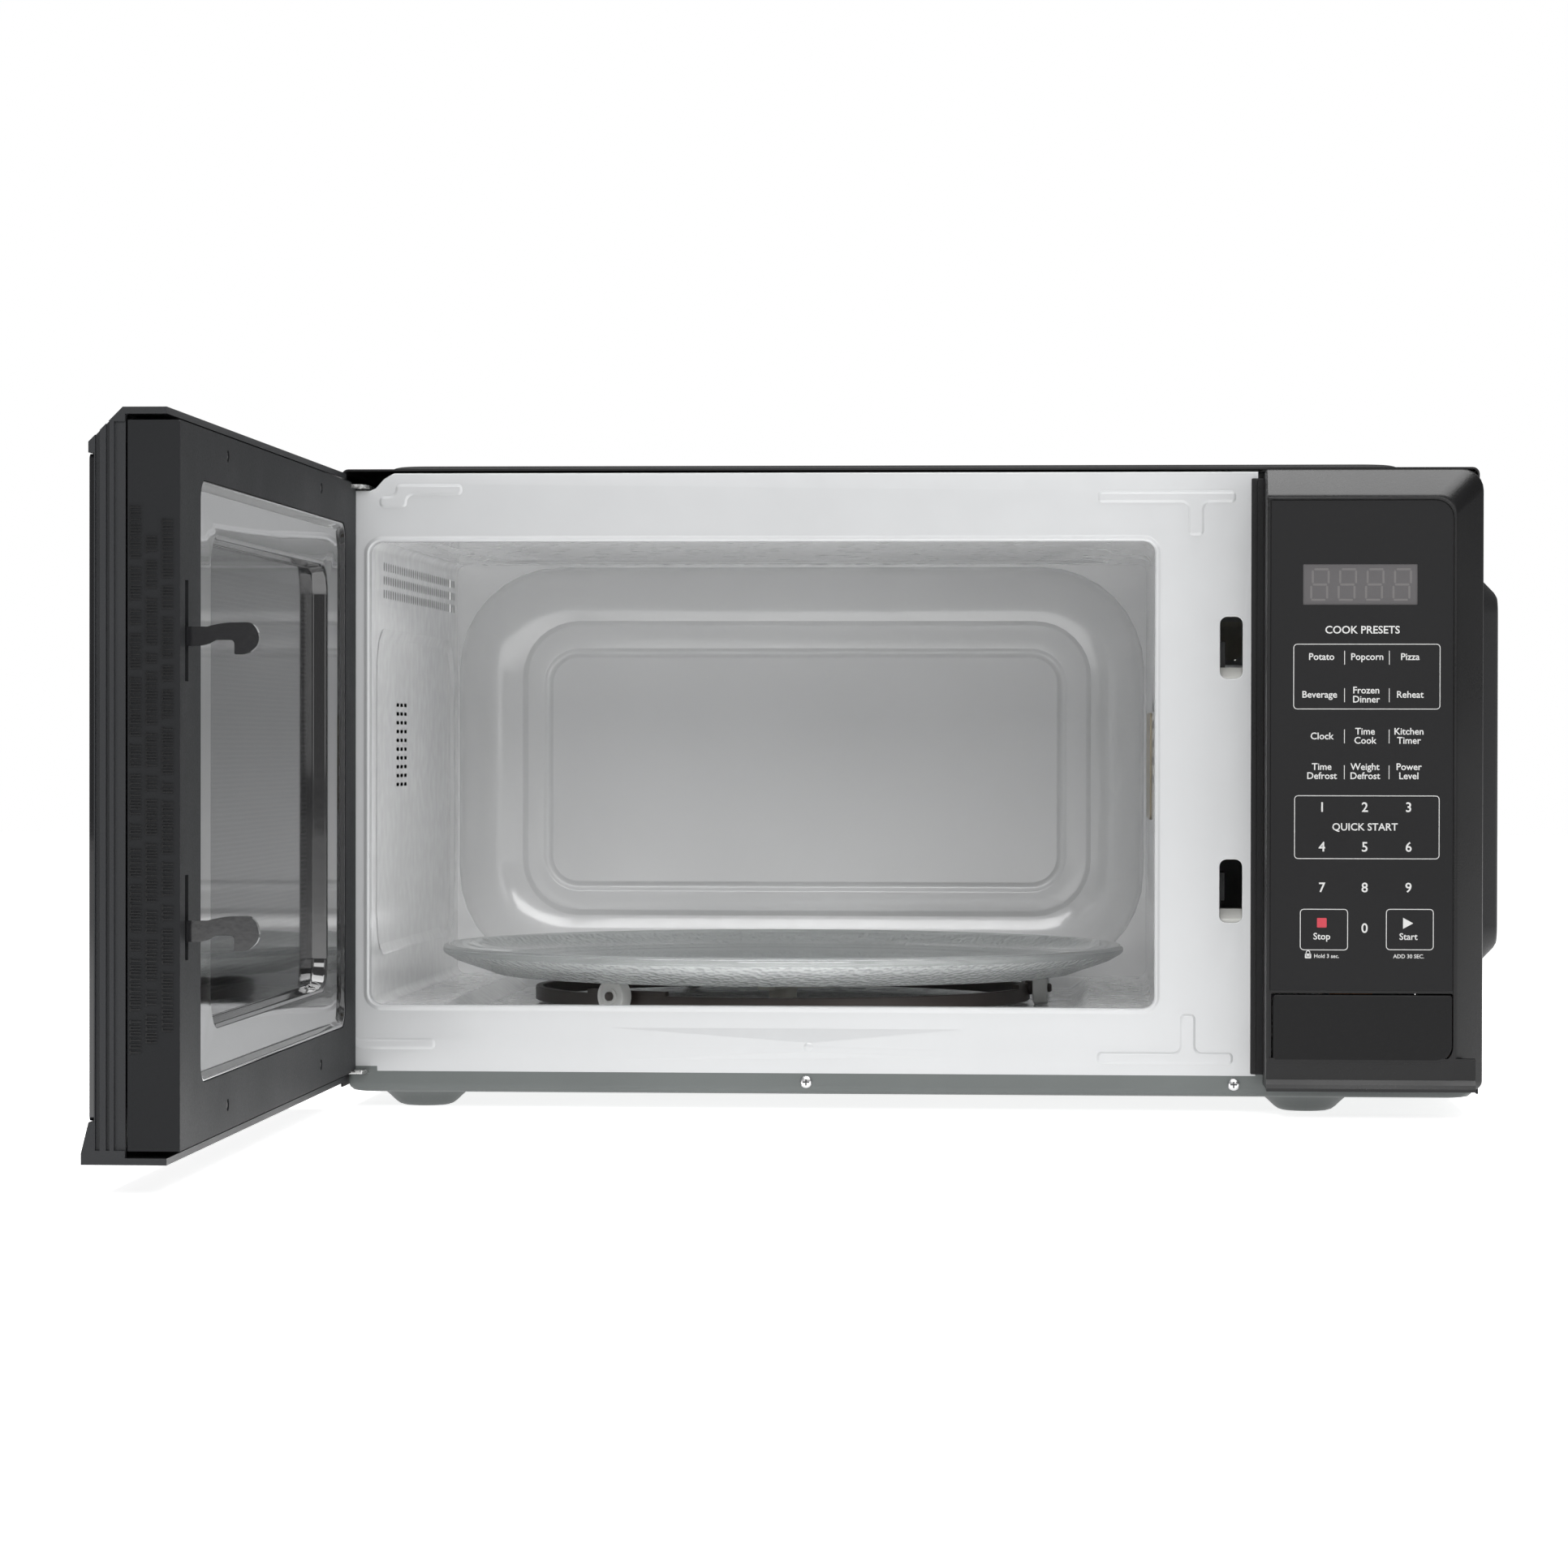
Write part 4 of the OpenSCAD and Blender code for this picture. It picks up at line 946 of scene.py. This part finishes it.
def written(bm, words, size, x, z, y):
    """Raised printing: a flat text made a mesh and stood on the panel."""
    curve = bpy.data.curves.new("legend", "FONT")
    curve.body = words
    curve.size = size
    curve.align_x = "CENTER"
    curve.align_y = "CENTER"
    curve.offset = size * 0.012
    curve.resolution_u = 3
    holder = bpy.data.objects.new("legend", curve)
    mesh = bpy.data.meshes.new_from_object(holder)
    with placed(bm, moved(x, y, z) @ turned(90, "X")):
        bm.from_mesh(mesh)
    bpy.data.objects.remove(holder)
    bpy.data.curves.remove(curve)
    bpy.data.meshes.remove(mesh)


def frame_line(bm, box, y, radius, width=0.3):
    """A printed line round a group of keys."""
    inner = grown(box, -width)
    fill(bm, opened(bm, [ring(bm, box, y, radius, 4), ring(bm, inner, y, radius - width, 4)]))


def legends():
    """Printing on the keypad: words, digits, dividers and key frames."""
    bm = bmesh.new()
    y = PRINT
    for size, row in LEGENDS:
        for words, x, z in row:
            written(bm, words, size, x, z, y)
    for box in ((163.3, 224.4, 172.3, 199.7), (163.8, 224.2, 109.7, 136.3),
                (166.3, 186.3, 71.5, 88.8), (202.1, 221.9, 71.7, 88.9)):
        frame_line(bm, box, y, 1.6)
    for x in (184.6, 203.2):
        for z in (193.9, 178.2, 161.0, 146.0):
            quad(bm, (x - 0.14, x + 0.14, z - 2.9, z + 2.9), y)
    outline(bm, [(209.2, 85.2), (209.2, 80.6), (213.4, 82.9)], y)
    ring(bm, (168.4, 171.0, 68.1, 70.1), y, 0.3, 2)
    frame_line(bm, (168.8, 170.6, 68.6, 71.4), y, 0.8, 0.3)
    ring(bm, (173.4, 177.4, 81.0, 85.0), y - 0.01, 0.3, 2).material_index = 1
    return piece("keypad_printing", bm, "cabinet", ["legend_print", "stop_print"],
                 normals=False)


def open_button():
    """Door release button with soft edges."""
    bm = bmesh.new()
    face = ring(bm, (155, 229.8, 24.8, 52.9), -31, (1.4, 7, 1.4, 1.4), 6)
    press(bm, face, [(0, 1.7), (0.15, 0.4), (0.3, 0.16), (0.5, 0.05)])
    return piece("release_pad", bm, "release_button", ["button_plastic"],
                 replaces=["release_button"])


# ------------ door


def door_liner():
    """Glossy black inner panel of the door: a rolled edge and a stepped recess."""
    bm = bmesh.new()
    edge = (-213.5, 113, 37.2, 250.8)
    recess = (-178, 81, 56, 231)
    rows = [(edge, 0.6, -3.4, 8), (edge, 0.2, -2.2, 8), (edge, -0.6, -1.7, 7.5),
            (edge, -1.6, -1.9, 7), (edge, -2.6, -3.0, 6.5), (edge, -4, -3.6, 6),
            (recess, 2, -3.6, 14), (recess, 0.8, -4.0, 13), (recess, 0, -5.0, 12),
            (recess, -0.6, -9.0, 11.4), (recess, -1.6, -10, 11), (recess, -3, -10.2, 10),
            (recess, -8.5, -10.2, 8), (recess, -9.3, -10.5, 8), (recess, -9.6, -11.4, 8)]
    loft(bm, [ring(bm, grown(box, by), y, r, 7) for box, by, y, r in rows])
    return piece("door_liner", bm, "door", ["panel_enamel"], DOOR, ["door_panel"],
                 facing=(1, 0, 0), sharp=45)


def door_marks():
    """Three columns of small raised figures down the free edge of the door."""
    bm = bmesh.new()
    fork = [(0, 0), (4, 0), (4, 0.4), (0.5, 0.4), (0.5, 1.1), (4, 1.1), (4, 1.5), (0, 1.5)]
    tee = [(0, 0), (0.6, 0), (0.6, 0.5), (4, 0.5), (4, 1), (0.6, 1), (0.6, 1.5), (0, 1.5)]
    words = [6, 9, 2, 8, 5, 3, 7, 4, 10, 6, 3]
    with placed(bm, moved(151.5, 0, 0) @ MIRRORED @ SIDEWAYS):
        for column, depth in enumerate((-19.0, -13.4, -7.8)):
            z = 50.0 + column * 4
            word = column * 4
            while z < 228 - column * 4:
                for letter in range(words[word % len(words)]):
                    figure = tee if (letter * 3 + word) % 5 < 2 else fork
                    face = outline(bm, [(depth + u, z + v) for u, v in figure], 0.12)
                    press(bm, face, [(0, 0.09), (0.06, 0.03)])
                    z += 2.1
                z += 2.2
                word += 1
    return piece("edge_figures", bm, "door", ["panel_plastic"], DOOR,
                 normals=False)


def hooks():
    """Pair of latch hooks with rounded noses, on their sliding bar."""
    bm = bmesh.new()
    shape = [(-12, 3), (6, 3), (9, 5), (15.5, 5), (15.5, 0), (20, 0), (24.5, 3.7), (23.5, 9.2),
             (21, 11.2), (10, 11), (6, 9.7), (-12, 9.7)]
    radii = [0.3, 3, 3, 1.4, 0.5, 1.8, 2.4, 2, 2.6, 6, 5, 0.3]
    bar = [(-16, 84), (-11, 84), (-11, 204), (-16, 204)]
    spring_peg = [(-15, 150), (-12, 150), (-12, 153), (-15, 153)]
    inner, thick = 137, 3.4
    with placed(bm, SIDEWAYS):
        blanks = []
        for z, tall in ((188.3, 1.0), (85.2, 1.1)):
            hook = outline(bm, [(u, z + v * tall) for u, v in shape], inner)
            blanks.append((rounded(bm, hook, radii, 4), thick))
        blanks += [(outline(bm, bar, inner), thick), (outline(bm, spring_peg, inner), 9)]
        for face, deep in blanks:
            thickened(bm, face, deep)
        rims = [e for e in bm.edges
                if len(e.link_faces) == 2 and abs(e.verts[0].co.y - e.verts[1].co.y) < 0.001
                and e.calc_face_angle(0) > 1.2]
        eased(bm, rims, 1.4, 5)
    return piece("hook_pair", bm, "door_latch", ["hook_plastic"], DOOR, ["latch_hooks"],
                 sharp=50)


def glass_border():
    """Black printed border on the back of the door glass."""
    bm = bmesh.new()
    behind = -31.4
    fill(bm, opened(bm, [ring(bm, (-241.5, 149.6, 27.2, 257), behind, 2, 4),
                         ring(bm, (-196, 96, 56, 232), behind, 8, 5)]))
    return piece("glass_border", bm, "door", ["door_window_glass"], DOOR)


# ------------ putting the oven together

front_plate()
cavity_walls()
cavity_rear()
wrapper()
floor_pan()
feet = [(x, -0.05, 12.6) for x in (-42.5, 140)]
screws("base_screws", "front_screws", "cabinet", "screw_steel", feet, 2.6, 1.4, 5)
rear = [(x, CAB_DEPTH + 0.05, CAB_TOP - 9) for x in (-226, -70, 90, 226)]
rear += [(x, CAB_DEPTH + 0.05, 34) for x in (-226, 226)]
screws("cover_screws", "wrapper_screws", "cabinet", "screw_steel", rear, 3.5, 2.1, 7, back=True)
pins = [(x, -2.9, z) for x in (-150, 60) for z in (25.5, 262)]
screws("liner_screws", "door_screws", "door", "door_screw", pins, 2.1, 1.1, 6, DOOR, True)
tray()
roller_ring()
for wheel, turn in zip(("roller_a", "roller_b", "roller_c"), AXLE_TURNS):
    roller(wheel, turn)
panel_body()
panel_flange()
keypad()
display()
legends()
open_button()
door_liner()
door_marks()
glass_border()
softened("door_moulding", "door_shell", "door_plastic", "door", 0.5)
softened("door_frame", "door_inner_frame", "trim_plastic", "door", 0.35)
hooks()
for name, node, finish, body, *ease in (
    ("hinge_top", "upper_hinge", "hinge_zinc", "cabinet", 0.3),
    ("hinge_foot", "lower_hinge", "hinge_zinc", "cabinet", 0.3),
    ("latch_block", "latch_board", "grey_plastic", "cabinet", 0.3),
    ("rear_feet", "rear_bumpers", "bumper_rubber", "cabinet", 0.8, 3),
    ("cord_grommet", "cord_bushing", "bumper_rubber", "cabinet", 0.4),
    ("release_arm", "release_lever", "lever_plastic", "release_lever", 0.4),
    ("drive_hub", "drive_coupler", "coupler_plastic", "turntable_drive", 0.5),
):
    softened(name, node, finish, body, *ease)

CARRIED = {
    "rear_panel": "rear_steel", "control_board": "circuit_board",
    "interlock_switches": "switch_plastic", "waveguide": "galvanised",
    "waveguide_cover": "mica", "magnetron_yoke": "galvanised",
    "magnetron_magnets": "magnet_ferrite", "magnetron_core": "fin_aluminium",
    "transformer_core": "core_steel", "transformer_windings": "winding",
    "hv_capacitor": "can_aluminium", "capacitor_clamp": "galvanised", "hv_diode": "black_epoxy",
    "fan_shroud": "duct_plastic", "fan_motor": "motor_steel", "fan_rotor": "fan_plastic",
    "air_duct": "duct_plastic", "oven_lamp": "lamp_glass", "lamp_holder": "lamp_ceramic",
    "thermal_cutout": "black_epoxy", "turntable_motor": "motor_steel",
    "motor_cover": "base_paint", "filter_board": "filter_resin", "line_fuse": "fuse_glass",
    "door_glass": "door_window_glass", "door_screen": "screen_metal", "door_film": "inner_film",
    "latch_spring": "spring_steel",
}
for node, finish in CARRIED.items():
    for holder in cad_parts[node].material_slots:
        holder.material = FINISH[finish]

# ------------ floor, light and camera


def stage_floor():
    """A wide pale floor."""
    bm = bmesh.new()
    side = [bm.verts.new((-6, y, 0)) for y in (-6, 0, 6)]
    edges = [bm.edges.new(pair) for pair in zip(side, side[1:])]
    made = bmesh.ops.extrude_edge_only(bm, edges=edges)
    far = [v for v in made["geom"] if isinstance(v, bmesh.types.BMVert)]
    bmesh.ops.translate(bm, vec=(12, 0, 0), verts=far)
    mesh = bpy.data.meshes.new("floor")
    bm.to_mesh(mesh)
    bm.free()
    for face in mesh.polygons:
        face.use_smooth = True
    look = surface("floor_white", (0.93, 0.93, 0.93), 0.7, grain=60, depth=0.00001, mottle=1.0,
                   shade=0.01)
    look.set(Emission_Color=(1, 1, 1, 1), Emission_Strength=0.78)
    mesh.materials.append(look.material)
    floor = bpy.data.objects.new("floor", mesh)
    scene.collection.objects.link(floor)


def lamp(name, place, look_at, size, power):
    """A rectangular soft light aimed at a point."""
    data = bpy.data.lights.new(name, "AREA")
    data.shape = "RECTANGLE"
    data.size, data.size_y = size
    data.energy = power
    obj = bpy.data.objects.new(name, data)
    scene.collection.objects.link(obj)
    obj.location = place
    obj.rotation_euler = (Vector(look_at) - Vector(place)).to_track_quat("-Z", "Y").to_euler()


def studio():
    """White surroundings for the eye, dimmer ones for reflections, and four soft lights."""
    world = bpy.data.worlds.new("studio")
    scene.world = world
    world.use_nodes = True
    tree = world.node_tree
    tree.nodes.clear()
    path = tree.nodes.new("ShaderNodeLightPath")
    mix = tree.nodes.new("ShaderNodeMixShader")
    out = tree.nodes.new("ShaderNodeOutputWorld")
    tree.links.new(path.outputs["Is Camera Ray"], mix.inputs[0])
    for slot, strength in ((1, 0.27), (2, 1.0)):
        white = tree.nodes.new("ShaderNodeBackground")
        white.inputs[0].default_value = (1, 1, 1, 1)
        white.inputs[1].default_value = strength
        tree.links.new(white.outputs[0], mix.inputs[slot])
    tree.links.new(mix.outputs[0], out.inputs[0])
    lamp("overhead", (0.05, 0.05, 1.5), (0.05, 0.05, 0), (2.0, 1.0), 42)
    lamp("left_box", (-1.5, -1.7, 0.9), (0, 0, 0.15), (1.2, 1.4), 5)
    lamp("right_box", (1.7, -1.5, 0.8), (0, 0, 0.15), (1.0, 1.4), 7)
    lamp("front_box", (0.25, -2.2, 1.1), (0, 0.1, 0.12), (1.6, 0.7), 24)


def camera_stand():
    """The camera: in front, a little right of the middle, at the oven's half height."""
    data = bpy.data.cameras.new("camera")
    data.sensor_width = 36.0
    data.lens = 105.3
    data.clip_start = 0.05
    data.clip_end = 60
    camera = bpy.data.objects.new("camera", data)
    scene.collection.objects.link(camera)
    aside, down, roll = 0.0615, 0.00894, 0.00155
    turn = (Matrix.Rotation(aside, 4, "Z") @ Matrix.Rotation(math.radians(90) - down, 4, "X")
            @ Matrix.Rotation(roll, 4, "Z"))
    camera.matrix_world = moved(0.07662, -1.9392, 0.15787) @ turn
    scene.camera = camera


stage_floor()
studio()
camera_stand()
scene.view_settings.view_transform = "Standard"

bpy.context.view_layer.update()
